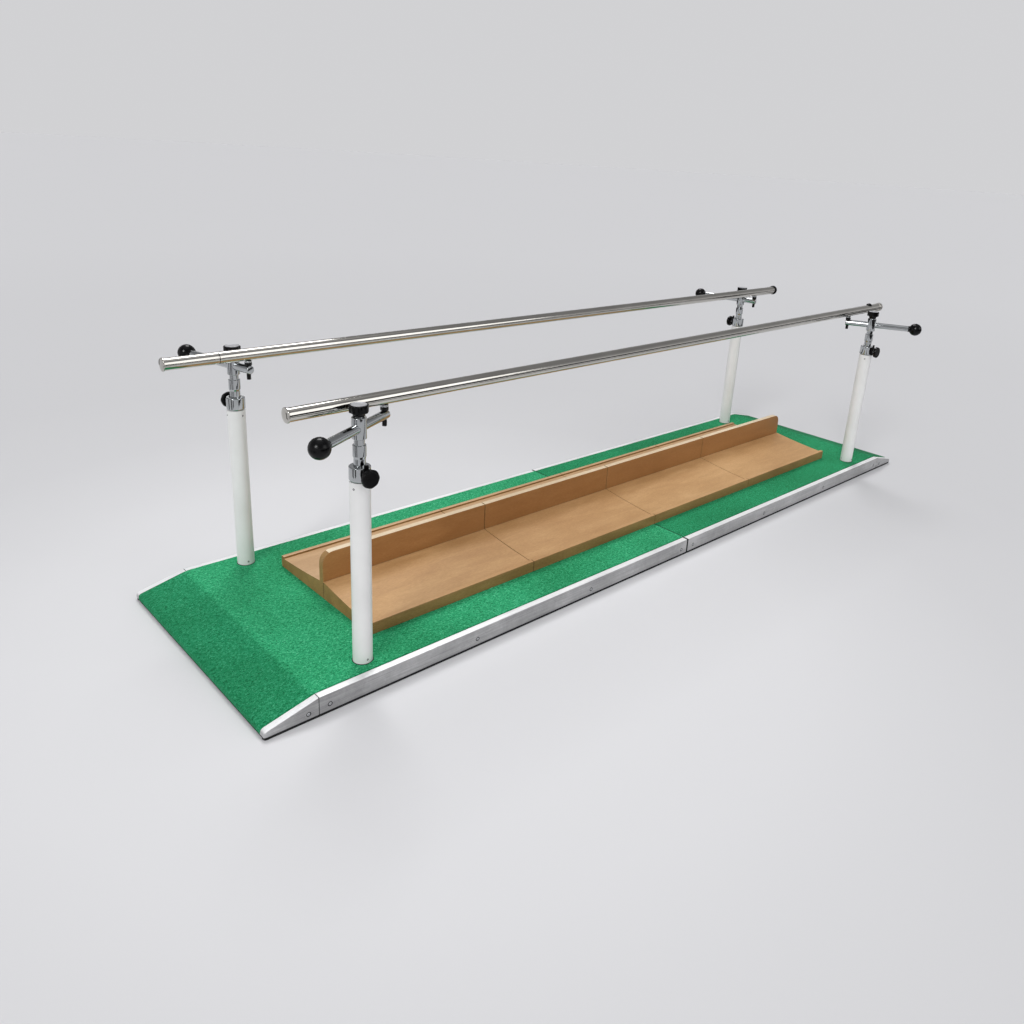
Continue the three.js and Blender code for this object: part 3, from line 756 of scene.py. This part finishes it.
def ramp_trim(side, row):
    start, tip_round, steps = SECTION + 2.2, 11, 8
    # Place along X, how far the outline shrinks there, and whether it is closed
    stations = [(start, 0.5, False), (start + 0.5, 0, False), (NOSE - 60, 0, False)]
    stations += [(NOSE - tip_round - 0.2, 0, False), (NOSE - tip_round, 0, True)]
    for k in range(1, steps + 1):
        a = k / steps * math.pi / 2
        along = NOSE - tip_round + tip_round * math.sin(a)
        stations.append((along, tip_round * (1 - math.cos(a)), True))
    sections = []
    for x, inset, closed in stations:
        top = TRIM_TOP - SLOPE * (x - SECTION) - inset * (0.9 if closed else 0.6)
        out = HALF_WIDTH - (inset * 0.42 if closed else inset)
        outline = trim_section(row, top, TRIM_BASE, out, closed)
        sections.append([(side * x, y, z) for y, z in outline])
    return mesh_of("ramp_trim", *loft(sections), 28)


for side, end in SIDES:
    for row, edge in ROWS:
        put(f"side_trim_{edge}_{end}", side_trim(side, row), trim_metal, "platform",
            None, [f"side_rail_{edge}_{end}"])
        put(f"ramp_trim_{edge}_{end}", ramp_trim(side, row), trim_metal, "platform",
            None, [f"ramp_rail_{edge}_{end}"])


# Black strips below the trims and along the noses, partly the rubber mat's edge and partly painted
# contact shadow; black pieces in the joints between the two sections paint the shade of the gaps

def strip_mesh(row, side):
    """Follows the side and turns in at the tip, a little behind the face of the trim."""
    out, inner, turn = HALF_WIDTH - 0.5, HALF_WIDTH - 14, 10.4
    tip = NOSE - 0.5
    outline = rounded([(JOINT / 2, out), (tip, out, turn), (tip, inner), (JOINT / 2, inner)], 8)
    return prism("edge_strip", [(side * x, row * y) for x, y in outline], 0.4, TRIM_BASE + 0.4)


STRIP_BASE = 4.5
# Painted shade: black pieces fill the gaps of the trim joints
GAP_SHADES = (("middle", -5.1, 5.1), ("left", -SECTION - 2.1, -SECTION - 0.1),
         ("right", SECTION + 0.1, SECTION + 2.1))
for side, end in SIDES:
    for row, edge in ROWS:
        put(f"edge_strip_{edge}_{end}", strip_mesh(row, side), rubber, "platform")
# Painted contact shadow, with the mat's edge: a black strip under each nose
for side, end in SIDES:
    reach = sorted((side * (NOSE - 6), side * (NOSE - 0.5)))
    half = HALF_WIDTH - 14
    strip = boxed("nose_strip", *reach, -half, half, STRIP_BASE, TRIM_BASE + 0.4)
    put(f"nose_strip_{end}", worked(strip, bevel=0.4), rubber, "platform")
for row, edge in ROWS:
    inner, outer = row * (HALF_WIDTH - 22), row * (HALF_WIDTH - 0.8)
    for place, x0, x1 in GAP_SHADES:
        gap_shade = boxed("joint_gap_shade", x0, x1, inner, outer, 4.4, TRIM_TOP - 1.2)
        put(f"joint_gap_shade_{edge}_{place}", worked(gap_shade, bevel=0.4), rubber, "platform")
# Painted shade: a black strip fills the carpet seam
gap_shade = boxed("carpet_seam_shade", -2.5, 2.5, -CARPET_HALF, CARPET_HALF, DECK_TOP + 0.2, CARPET_TOP - 1.2)
put("carpet_seam_shade", worked(gap_shade, bevel=0.6), rubber, "platform")

# Pan head screws with a cross recess, each on a dark ring that paints the shade of a countersink
screw_head = worked(
    turned("screw_head", [(0, -1.2), (4.9, -1.2), (5.1, 0, 0.2), (4.2, 0.75, 0.6), (0, 1.0)], 28),
    [boxed("slot", -3, 3, -0.5, 0.5, 0.1, 3), boxed("slot", -0.5, 0.5, -3, 3, 0.1, 3)],
)
screw_shade_ring = turned("screw_shade_ring", [(4.9, -0.5), (7.6, -0.5), (7.4, 0.1), (5.2, 0.14)], 32, True)
SCREW_SPOTS = [(x, 29) for x in (-1655, -1116, -578, -40, 40, 578, 1116, 1655)]
SCREW_SPOTS += [(-1722, 24.5), (1722, 24.5)]
for row, edge in ROWS:
    for i, (x, z) in enumerate(SCREW_SPOTS):
        place = shift(x, row * HALF_WIDTH, z) @ spin(-90 * row, "X") @ spin(17 * i)
        put(f"trim_screw_{edge}_{i}", screw_head, zinc, "platform", place)
        put(f"trim_screw_ring_{edge}_{i}", screw_shade_ring, rubber, "platform", place)


# Posts, collars, masts, heads

POST_BASE = 10.3
POST_INSIDE = 27
COLLAR_BORE = 17.4
STEM_PLACE = shift(0, 0, SIDE_KNOB_Z) @ ALONG_X

post_mesh = turned("post", [
    (POST_INSIDE, POST_BASE), (POST_R, POST_BASE), (POST_R, POST_TOP, 0.8),
    (POST_INSIDE, POST_TOP, 0.6)], 80, True)
post_screw = worked(
    turned("post_screw", [(0, -1.5), (3.1, -1.5), (3.1, 0.5, 0.3), (0, 0.5)], 24),
    [prism("hex", circle(1.7, 6), -1, 2)],
)
# Painted contact shadow: a dark ring about the foot of each post
post_shade_ring = turned("post_shade_ring", [
    (POST_R + 0.1, 62), (32.4, 62), (32.2, 67.1, 0.4), (POST_R + 0.1, 67.5)], 64, True)
collar_mesh = turned("collar", [
    (COLLAR_BORE, 622), (26, 622), (26, 650.3), (27.2, 650.3),
    (COLLAR_R, 654.2, 2.5), (COLLAR_R, COLLAR_TOP - 1.6, 1), (COLLAR_R - 1.6, COLLAR_TOP, 0.8),
    (COLLAR_BORE, COLLAR_TOP, 0.8),
], 80, True)
collar_mesh = worked(collar_mesh, [bore(STEM_BORE, 0, 60, 24, STEM_PLACE)])


def block_mesh():
    """Clamp block, hollowed to sit on the collar's round."""
    half, face = 10, 37
    inner = []
    for k in range(9):
        y = -half + 2 * half * k / 8
        inner.append((math.sqrt((COLLAR_R + 0.05) ** 2 - y * y), y))
    corner = rounded([inner[-1], (face, half, 2.4), (face, -half, 2.4), inner[0]], 5, False)
    mesh = prism("clamp_block", inner + corner[1:-1], 652.4, 691.8)
    return worked(mesh, [bore(STEM_BORE, 20, 60, 24, STEM_PLACE)], bevel=1.1, segments=3)


def tab_mesh():
    """Rounded plate that stands up behind the collar."""
    outline = rounded([(-7, 679), (7, 679), (7, 705, 3.5), (-7, 705, 3.5)], 6)
    verts, faces = loft([[(x, y, z) for y, z in outline] for x in (COLLAR_R + 0.4, COLLAR_R + 5.2)])
    return worked(mesh_of("tab", verts, faces), bevel=0.7, segments=2)


clamp_block = block_mesh()
clamp_tab = tab_mesh()

mast_profile = [
    (15, 250), (17, 250, 0.6), (17, 717, 0.8), (19.2, 723, 1.5), (19.2, 756, 0.9), (15, 756, 0.6),
    (15, 773.7), (12, 773.7), (12, 785), (5, 785), (5, 717), (15, 717),
]
TOP_HOLE, HOLE_PITCH, HOLES = 702, 75, 5
mast_mesh = worked(turned("mast", mast_profile, 72, True), [
    bore(4, 8, 24, 28, shift(0, 0, TOP_HOLE - HOLE_PITCH * i) @ ALONG_X) for i in range(HOLES)])

head_mesh = turned("head", [
    (0, HEAD_BOTTOM), (HEAD_R, HEAD_BOTTOM, 2), (HEAD_R, HEAD_TOP, 2), (13.2, HEAD_TOP),
    (13.2, HEAD_TOP + 1.7, 0.5), (0, HEAD_TOP + 1.7)], 72)
head_mesh = worked(head_mesh, [
    bore(ARM_R + 0.25, -30, 30, 64, shift(0, 0, ARM_Z) @ ALONG_X),
    bore(12.3, 760, 785.3, 48),
    bore(5.4, 800, 860, 24),
])


# Knobs

def knob_mesh(name, hub_r, hub_h, rim_h, pocket, lobe=1.0, bevel=2.6):
    """Lobed hand wheel on a tapered hub, with a shallow pocket for a cap or a ring."""
    sides, lobes, steps = 160, 8, 6
    top = hub_h + rim_h

    def lobed(inset):
        out = []
        for k in range(sides):
            a = 2 * math.pi * k / sides
            wave = math.cos(lobes * a)
            r = KNOB_R - lobe + lobe * math.copysign(abs(wave) ** 0.8, wave) - inset
            out.append((r * math.cos(a), r * math.sin(a)))
        return out

    def round_rings(*rows):
        return [(circle(r, sides), z) for r, z in rows]

    rings = round_rings((0, 0), (hub_r - 2.6, 0), (hub_r - 2.0, 0.7), (hub_r, hub_h - 0.8),
                        (hub_r + 0.5, hub_h - 0.1), (hub_r + 1.4, hub_h))
    quarter = [k / steps * math.pi / 2 for k in range(steps + 1)]
    for a in quarter:
        rings.append((lobed(bevel * (1 - math.sin(a))), hub_h + bevel * (1 - math.cos(a))))
    for a in quarter:
        rings.append((lobed(bevel * (1 - math.cos(a))), top - bevel * (1 - math.sin(a))))
    if pocket:
        rings += round_rings((22.9, top), (22.4, top - 0.3), (22.4, top - 1.4), (0, top - 1.4))
    else:
        rings += round_rings((20.5, top), (19.8, top - 0.5), (7, top - 0.9), (0, top - 0.9))
    verts = [(x, y, z) for points, z in rings for x, y in points]
    faces = []
    for i in range(len(rings) - 1):
        for k in range(sides):
            n = (k + 1) % sides
            faces.append((i * sides + k, i * sides + n, (i + 1) * sides + n, (i + 1) * sides + k))
    return mesh_of(name, verts, faces, 30)


top_knob = knob_mesh("top_knob", 18.5, 11, 23, True)
top_cap = turned("top_cap", [
    (0, 32.7), (22.1, 32.7), (22.1, 34.8, 0.5), (18.6, 34.8, 0.8), (16.4, 34.1, 1.6),
    (0, 34.0)], 72)
top_stem = turned("top_stem", [(0, -19.7), (5, -19.7), (5, -0.05), (0, -0.05)], 28)
side_knob = knob_mesh("side_knob", 15, 5, 14, False, 0.45, 4.2)
side_stem = turned("side_stem", [(0, -24), (4, -24, 0.5), (4, -0.05), (0, -0.05)], 28)
side_nut = worked(prism("side_nut", circle(7.4, 6), -4.9, -1.7), [bore(4.15, -20, 20)], bevel=0.5)
stem_collar = turned("stem_collar", [
    (4.15, -1.5), (8.2, -1.5, 0.4), (8.2, -0.1), (4.15, -0.1)], 36, True)


# Arms

FERRULE_TOP = 34


def arm_mesh(reach):
    """Tube from the ferrule of its ball, through the head, to the pivot at this reach."""
    start = reach - ARM_LENGTH + FERRULE_TOP + REST
    end = reach + ARM_TAIL
    outer = turned("arm_tube", [(0, start), (ARM_R, start, 0.5), (ARM_R, end, 2.2), (0, end)], 56)
    return worked(moved(outer, ALONG_X), [
        bore(11.6, start - 5, end - 5, 40, ALONG_X),
        bore(BOLT_BORE, -30, 30, 24, shift(reach)),
    ])


def ball_mesh(reach):
    """Ball grip with its ferrule and the spigot that sits in the arm."""
    profile = []
    ferrule = 14.6
    neck = math.acos(ferrule / BALL_R)
    count = 30
    for i in range(count + 1):
        a = -math.pi / 2 + (neck + math.pi / 2) * i / count
        profile.append((BALL_R * math.cos(a), BALL_R * math.sin(a)))
    profile[0] = (0, -BALL_R)
    profile += rounded([profile[-1], (ferrule, FERRULE_TOP, 0.8), (11, FERRULE_TOP)], 5, False)[1:]
    profile += [(11, 58), (0, 58)]
    verts, faces = lathe(profile, 64)
    mesh = mesh_of("ball", verts, faces, 40)
    return moved(mesh, shift(reach - ARM_LENGTH) @ ALONG_X)


# Pivot bolts

screw_seat = ARM_Z - ARM_R - REST
cap_screw = worked(
    turned("cap_screw", [
        (0, screw_seat - 19), (6.9, screw_seat - 19, 1.2), (6.9, screw_seat, 0.4), (4, screw_seat),
        (4, 843, 0.5), (0, 843)], 40),
    [prism("socket", circle(3.4, 6), screw_seat - 25, screw_seat - 12)],
)
nut_low = ARM_Z + ARM_R + REST
nut_top = nut_low + 11
chamfer = turned("chamfer", [
    (0, nut_low), (11, nut_low, 0.3), (12.1, nut_low + 0.8), (12.1, nut_top - 0.8),
    (11, nut_top, 0.3), (0, nut_top)], 48)
slots = [moved(boxed("slot", -14, 14, -1.5, 1.5, nut_low + 6, nut_low + 14), spin(30 + 60 * k))
         for k in range(3)]
pivot_nut = worked(prism("pivot_nut", circle(12, 6), nut_low, nut_top), common=[chamfer])
pivot_nut = worked(pivot_nut, [bore(4.05, 810, 840, 28), *slots])
washer = turned("washer", [
    (4.1, nut_top + 0.05), (11.5, nut_top + 0.05, 0.5), (11.5, 835.7, 0.5), (4.1, 835.7)], 48, True)


# The four corners: side, row, and the pivot's place from the post, along the bars and inwards

corners = {
    "near_left": (-1, -1, 122.07, 62.2),
    "near_right": (1, -1, -55.75, 100.58),
    "far_left": (-1, 1, 18.75, 75.2),
    "far_right": (1, 1, 18.75, 75.2),
}
pivots = {}
for name, (side, row, along, inwards) in corners.items():
    column = shift(side * POST_X, row * POST_Y, 0)
    clamp = column @ spin(90 * row)
    pivots[name] = Vector((side * POST_X + along, row * (POST_Y - inwards), RAIL_Z))
    put(f"post_tube_{name}", post_mesh, enamel, "platform", column, [f"post_{name}"])
    head_turn, foot_turn = (203, 148) if row < 0 else (169, 262)
    for piece, turn, z in (("post_screw", head_turn, 632), ("post_foot_screw", foot_turn, 80)):
        for k in range(3):
            place = column @ spin(turn + 120 * k) @ shift(POST_R, 0, z) @ ALONG_X
            put(f"{piece}_{name}_{k}", post_screw, bolt_steel, "platform", place)
    put(f"post_shade_ring_{name}", post_shade_ring, rubber, "platform", column)
    put(f"collar_ring_{name}", collar_mesh, chrome, "platform", clamp, [f"collar_{name}"])
    put(f"clamp_block_{name}", clamp_block, block_plastic, "platform", clamp)
    put(f"clamp_tab_{name}", clamp_tab, block_plastic, "platform", clamp)
    put(f"mast_tube_{name}", mast_mesh, chrome, f"mast_{name}", clamp, [f"mast_{name}"])
    knob_place = clamp @ shift(SIDE_KNOB_X, 0, SIDE_KNOB_Z) @ ALONG_X
    body = f"collar_knob_{name}"
    put(f"side_knob_{name}", side_knob, plastic, body, knob_place, [body])
    put(f"side_stem_{name}", side_stem, zinc, body, knob_place)
    put(f"side_nut_{name}", side_nut, zinc, body, knob_place)
    put(f"stem_collar_{name}", stem_collar, zinc, body, knob_place)
    reach = math.hypot(along, inwards)
    swivel = column @ Matrix.Rotation(math.atan2(-row * inwards, along), 4, "Z")
    put(f"head_shell_{name}", head_mesh, chrome, f"head_{name}", swivel, [f"head_{name}"])
    top_place = swivel @ shift(0, 0, KNOB_BASE)
    body = f"top_knob_{name}"
    put(f"top_wheel_{name}", top_knob, plastic, body, top_place, [body])
    put(f"top_cap_{name}", top_cap, cap_grey, body, top_place)
    put(f"top_stem_{name}", top_stem, zinc, body, top_place)
    body = f"arm_{name}"
    carrier = swivel @ shift(0, 0, ARM_Z)
    put(f"arm_tube_{name}", arm_mesh(reach), chrome, body, carrier, [f"arm_{name}"])
    put(f"ball_grip_{name}", moved(ball_mesh(reach), carrier), plastic, body, None,
        [f"arm_ball_{name}"])
    bolt = swivel @ shift(reach)
    put(f"cap_screw_{name}", cap_screw, bolt_steel, body, bolt,
        [f"pivot_bolt_{name}"])
    nut_metal = zinc if row < 0 else bolt_steel
    put(f"pivot_nut_{name}", pivot_nut, nut_metal, body, bolt)
    put(f"pivot_washer_{name}", washer, zinc, body, bolt)


# Handrails, along +X from the left pivot

SLEEVE = 28
BUTTON_FROM_END = 125


def handrail(name, left, right, tail, near):
    """The near rail has a slot and a sleeve at its right end, the far one a ring and a plug."""
    a, b = pivots[left], pivots[right]
    line = (b - a).to_2d()
    place = shift(a.x, a.y, RAIL_Z) @ Matrix.Rotation(math.atan2(line.y, line.x), 4, "Z")
    start, end = -tail, RAIL_LENGTH - tail
    stop = end - SLEEVE if near else end - 13
    disc = [(0, start), (11, start + 0.5, 4), (22, start + 3, 2.2), (22, start + 7, 0.7),
            (RAIL_R, start + 7.2)]
    ring = [] if near else [(RAIL_R, -105), (RAIL_R + 0.4, -104.6), (RAIL_R + 0.4, -101.6),
                            (18.2, -101.4), (18.2, -99.2), (RAIL_R, -99)]
    profile = [*disc, *ring, (RAIL_R, stop), (0, stop)]
    verts, faces = lathe(rounded(profile, 6, False), 72)
    mesh = moved(mesh_of("rail", verts, faces, 32), ALONG_X)
    cuts = []
    for x, travel in ((0, 0), (line.length, SLOT_TRAVEL if near else 0)):
        for end_x in sorted({x - travel / 2, x + travel / 2}):
            cuts.append(bore(BOLT_BORE, -30, -10, 28, shift(end_x)))
        if travel:
            ends = x - travel / 2, x + travel / 2
            cuts.append(boxed("slot", *ends, -BOLT_BORE, BOLT_BORE, -30, -10))
    mesh = worked(mesh, cuts)
    body = f"handrail_{name}"
    put(f"rail_tube_{name}", mesh, stainless, body, place, [body])
    if near:
        sleeve = turned("sleeve", [
            (20.05, end - SLEEVE), (21.4, end - SLEEVE, 0.5), (21.4, end, 4), (0, end)], 72)
        put(f"rail_sleeve_{name}", moved(sleeve, ALONG_X), sleeve_steel, body, place)
        button = turned("button", [(0, 12), (13.9, 12), (13.9, 22, 1.5), (7, 27.6, 4), (0, 29)], 48)
        put(f"rail_button_{name}", button, plastic, body,
            place @ shift(end - BUTTON_FROM_END))
    else:
        plug = turned("plug", [
            (0, end - 12.7), (24.4, end - 12.7, 0.8), (24.4, end, 4.5), (0, end)], 72)
        put(f"rail_plug_{name}", moved(plug, ALONG_X), plastic, body, place,
            ["handrail_plug_far"])
        # Painted shade: a black ring in the groove
        groove_shade = turned("rail_seam", [
            (18.1, -101.3), (19.6, -101.3), (19.6, -99.3), (18.1, -99.3)], 64, True)
        put(f"rail_seam_{name}", moved(groove_shade, ALONG_X), rubber, body, place)


handrail("near", "near_left", "near_right", NEAR_TAIL, True)
handrail("far", "far_left", "far_right", FAR_TAIL, False)


# Leg boards

BOARD_BASE = CARPET_TOP + REST
BOARD_SPAN = 2820
SEAM = 2.6
NEAR_EDGE, FAR_EDGE = -300, 288
DIVIDER_NEAR, DIVIDER_FAR = -9.5, 15.5
DIVIDER_TOP = 235
DIVIDER_ROUND = 46
TRACK_TOP, TRACK_FALL, TRACK_SAG = 130, 28, 12
LIP_TOP = 109


def track(row, inner, outer):
    """Outline in Y and Z from the divider's foot over the sagging track to the lip."""
    lip = outer - row * 18
    points = [(inner, BOARD_BASE)]
    steps = 24
    for i in range(steps + 1):
        s = i / steps
        z = TRACK_TOP - TRACK_FALL * s - TRACK_SAG * s * (1 - s)
        points.append((inner + (lip - inner) * s, z))
    tail = rounded([points[-1], (lip + row * 1.2, LIP_TOP - 0.4), (lip + row * 2.6, LIP_TOP, 1.2),
                    (outer, LIP_TOP, 3), (outer, BOARD_BASE, 1), (inner, BOARD_BASE)], 5, False)
    return points + tail[1:-1]


def paint_board(mesh, divider):
    """Faces get the wood of the track, of the cut edges, or of the divider's face and crest; the
    far track's lighter wood and the pale crest are painted highlights, the divider's darker face is
    painted shade.
    """
    mesh.materials.clear()
    for item in (beech_far_highlight if divider else beech, beech_edge, beech_divider_shade, beech_crest_highlight):
        mesh.materials.append(item)
    for f in mesh.polygons:
        n = f.normal
        top = f.center.z > TRACK_TOP * MM + 0.01
        if abs(n.x) > 0.3 or (abs(n.y) > 0.7 and not top and abs(f.center.y) > 0.2):
            f.material_index = 1
        elif divider and top and abs(n.y) > 0.7:
            f.material_index = 2
        elif divider and f.center.z > (DIVIDER_TOP - 45) * MM:
            f.material_index = 3
        else:
            f.material_index = 0
    return mesh


def board_ends(i):
    length = BOARD_SPAN / 4
    x0 = -BOARD_SPAN / 2 + i * length
    return x0 + SEAM / 2, x0 + length - SEAM / 2


def near_board(i):
    x0, x1 = board_ends(i)
    outline = track(-1, DIVIDER_NEAR - 2.4, NEAR_EDGE)
    mesh = mesh_of("leg_board", *loft([[(x, y, z) for y, z in outline] for x in (x0, x1)]), 24)
    return paint_board(worked(mesh, bevel=0.9, segments=2, bevel_angle=50, angle=24), False)


def far_board(i):
    x0, x1 = board_ends(i)
    foot = 72
    left = DIVIDER_ROUND if i == 0 else 0
    right = DIVIDER_ROUND if i == 3 else 0
    side = rounded([(x0, foot), (x1, foot), (x1, DIVIDER_TOP, right), (x0, DIVIDER_TOP, left)], 12)
    divider = mesh_of("divider", *loft([[(x, y, z) for x, z in side]
                                        for y in (DIVIDER_NEAR, DIVIDER_FAR)]), 24)
    divider = worked(divider, bevel=2.2, segments=3, bevel_angle=40, angle=24)
    outline = track(1, DIVIDER_NEAR, FAR_EDGE)
    base = mesh_of("leg_board", *loft([[(x, y, z) for y, z in outline] for x in (x0, x1)]), 24)
    base = worked(base, bevel=0.9, segments=2, bevel_angle=50, angle=24)
    return paint_board(worked(base, join=[divider], angle=24), True)


# Dark pieces in the seams between the boards: painted shade of the gaps
SEAM_BASE = 69
shade_bar = boxed("seam_shade_bar", -1408.6, 1408.6, -11.6, -9.8, SEAM_BASE, 127.5)
put("seam_shade_bar", worked(shade_bar, bevel=0.3), rubber, "platform")
for i in (1, 2, 3):
    seam_x = board_ends(i)[0] - SEAM / 2
    for edge, y in (("near", -291.6), ("far", 279.6)):
        shade_block = boxed("seam_shade_block", seam_x - 1.25, seam_x + 1.25, y - 7.4, y + 7.4, SEAM_BASE, 107.4)
        put(f"seam_shade_block_{edge}_{i}", worked(shade_block, bevel=0.5), rubber, "platform")

for i in range(4):
    for edge, mesh in (("near", near_board(i)), ("far", far_board(i))):
        piece = f"board_{edge}_{i + 1}"
        put(piece, mesh, None, "platform", None, [f"leg_{piece}"])


# Camera, solved from the lines of the photograph

camera_data = bpy.data.cameras.new("camera")
camera_data.sensor_fit = "HORIZONTAL"
camera_data.sensor_width = 36
camera_data.lens = 29.597
camera_data.shift_x = -0.0355
camera_data.shift_y = -0.0676
camera_data.clip_start = 0.05
camera_data.clip_end = 400
camera = bpy.data.objects.new("camera", camera_data)
bpy.context.scene.collection.objects.link(camera)
right = Vector((0.7237, -0.6876, 0.0592)).normalized()
forward = Vector((0.6642, 0.6706, -0.3303))
up = right.cross(forward).normalized()
forward = up.cross(right).normalized()
pose = Matrix((right, up, -forward)).transposed().to_4x4()
pose.translation = (-2.6588, -2.3086, 1.5579)
camera.matrix_world = pose
bpy.context.scene.camera = camera


# Floor, lamps and world

def floor_piece():
    """Round pale floor, in metres, with a painted pool of light about the object's left half."""
    mesh = bpy.data.meshes.new("floor")
    radius, count = 90.0, 96
    mesh.from_pydata([(x, y, 0) for x, y in circle(radius, count)], [], [tuple(range(count))])
    look = Look("studio_floor")
    reach = look.add("VectorMath", operation="LENGTH")
    centre = look.add("Mapping")
    centre.inputs["Location"].default_value = (1.1, 0.15, 0)
    look.link(look.coords, "Object", centre, "Vector")
    look.link(centre, "Vector", reach, 0)
    # Painted pool of light: the colour is lightest near the object and darker further out
    far = look.level((reach, "Value"), 0, 1, 0, 10)
    look.colour(look.ramp(far, [
        (0.0, linear(224, 224, 226)),
        (0.09, linear(224, 224, 226)),
        (0.13, linear(221, 221, 223)),
        (0.16, linear(216, 216, 218)),
        (0.21, linear(209, 209, 211)),
        (0.3, linear(205, 205, 207)),
        (0.6, linear(205, 205, 207)),
        (1.0, linear(207, 207, 209)),
    ]))
    look.set(Roughness=1.0)
    look.bsdf.inputs["Specular IOR Level"].default_value = 0.0
    obj = bpy.data.objects.new("floor", mesh)
    mesh.materials.append(look.material)
    bpy.context.scene.collection.objects.link(obj)


floor_piece()


def sun(name, origin, strength, angle):
    """Soft distant lamp that shines from the side given by origin."""
    data = bpy.data.lights.new(name, "SUN")
    data.energy = strength
    data.angle = math.radians(angle)
    obj = bpy.data.objects.new(name, data)
    obj.location = Vector(origin) * 5
    obj.rotation_mode = "QUATERNION"
    obj.rotation_quaternion = Vector(origin).to_track_quat("Z", "Y")
    bpy.context.scene.collection.objects.link(obj)


# Each with the side that it shines from, its strength and its softness in degrees
sun("key", (0.35, 0.55, 1.0), 1.22, 24)
sun("side", (0.55, -1.0, 0.5), 0.42, 34)
sun("fill", (-0.85, -0.35, 0.62), 1.46, 20)


def card(name, start, end, z0, z1, strength):
    """Studio card beside the object, seen only in reflections."""
    mesh = bpy.data.meshes.new(name)
    mesh.from_pydata([(*start, z0), (*end, z0), (*end, z1), (*start, z1)], [], [(0, 1, 2, 3)])
    material = bpy.data.materials.new(name)
    material.use_nodes = True
    nodes_of = material.node_tree.nodes
    nodes_of.clear()
    glow = nodes_of.new("ShaderNodeEmission")
    glow.inputs["Color"].default_value = (1, 1, 1, 1)
    glow.inputs["Strength"].default_value = strength
    end_node = nodes_of.new("ShaderNodeOutputMaterial")
    material.node_tree.links.new(glow.outputs[0], end_node.inputs["Surface"])
    mesh.materials.append(material)
    obj = bpy.data.objects.new(name, mesh)
    bpy.context.scene.collection.objects.link(obj)
    obj.visible_camera = False
    obj.visible_diffuse = False
    obj.visible_transmission = False
    obj.visible_volume_scatter = False
    obj.visible_shadow = False


CARD_X, CARD_Y, CARD_WIDTH = 3.0, 1.6, 0.42
for row, edge in ROWS:
    y = row * CARD_Y
    card(f"dark_card_{edge}", (-2.0, y), (5.4, y), 0.52, 0.97, 0.02)
    card(f"foot_card_{edge}", (-1.2, y), (5.4, y), 0.02, 0.2, 0.05)
    card(f"bright_card_{edge}", (-3.4, y), (0.6, y), 0.99, 1.07, 1.2)
for side, end in SIDES:
    x = side * CARD_X
    for k, y in enumerate((-1.0, -0.25, 0.75)):
        card(f"dark_card_{end}_{k}", (x, y), (x, y + CARD_WIDTH), 0.02, 0.6, 0.1)

# Sky for reflections by height, and one even tone behind the object
world = bpy.data.worlds.new("studio")
bpy.context.scene.world = world
world.use_nodes = True
tree = world.node_tree
tree.nodes.clear()
out = tree.nodes.new("ShaderNodeOutputWorld")
background = tree.nodes.new("ShaderNodeBackground")
coords = tree.nodes.new("ShaderNodeTexCoord")
parts = tree.nodes.new("ShaderNodeSeparateXYZ")
sky = tree.nodes.new("ShaderNodeValToRGB")
BLUE_SHARE = 1.022
stops = [(0.0, 0.622), (0.14, 0.61), (0.22, 0.45), (0.4, 0.31), (0.62, 0.24), (0.8, 0.27),
         (0.93, 0.6), (1.0, 0.7)]
elements = sky.color_ramp.elements
for i, (position, value) in enumerate(stops):
    element = elements[i] if i < 2 else elements.new(position)
    element.position = position
    element.color = (value, value, value * BLUE_SHARE, 1)
tree.links.new(coords.outputs["Generated"], parts.inputs[0])
tree.links.new(parts.outputs["Z"], sky.inputs["Fac"])
tree.links.new(sky.outputs[0], background.inputs["Color"])
backdrop = tree.nodes.new("ShaderNodeBackground")
backdrop.inputs["Color"].default_value = (0.64, 0.64, 0.654, 1)
path = tree.nodes.new("ShaderNodeLightPath")
either = tree.nodes.new("ShaderNodeMixShader")
tree.links.new(path.outputs["Is Camera Ray"], either.inputs[0])
tree.links.new(background.outputs[0], either.inputs[1])
tree.links.new(backdrop.outputs[0], either.inputs[2])
tree.links.new(either.outputs[0], out.inputs["Surface"])

bpy.context.scene.view_settings.view_transform = "Standard"
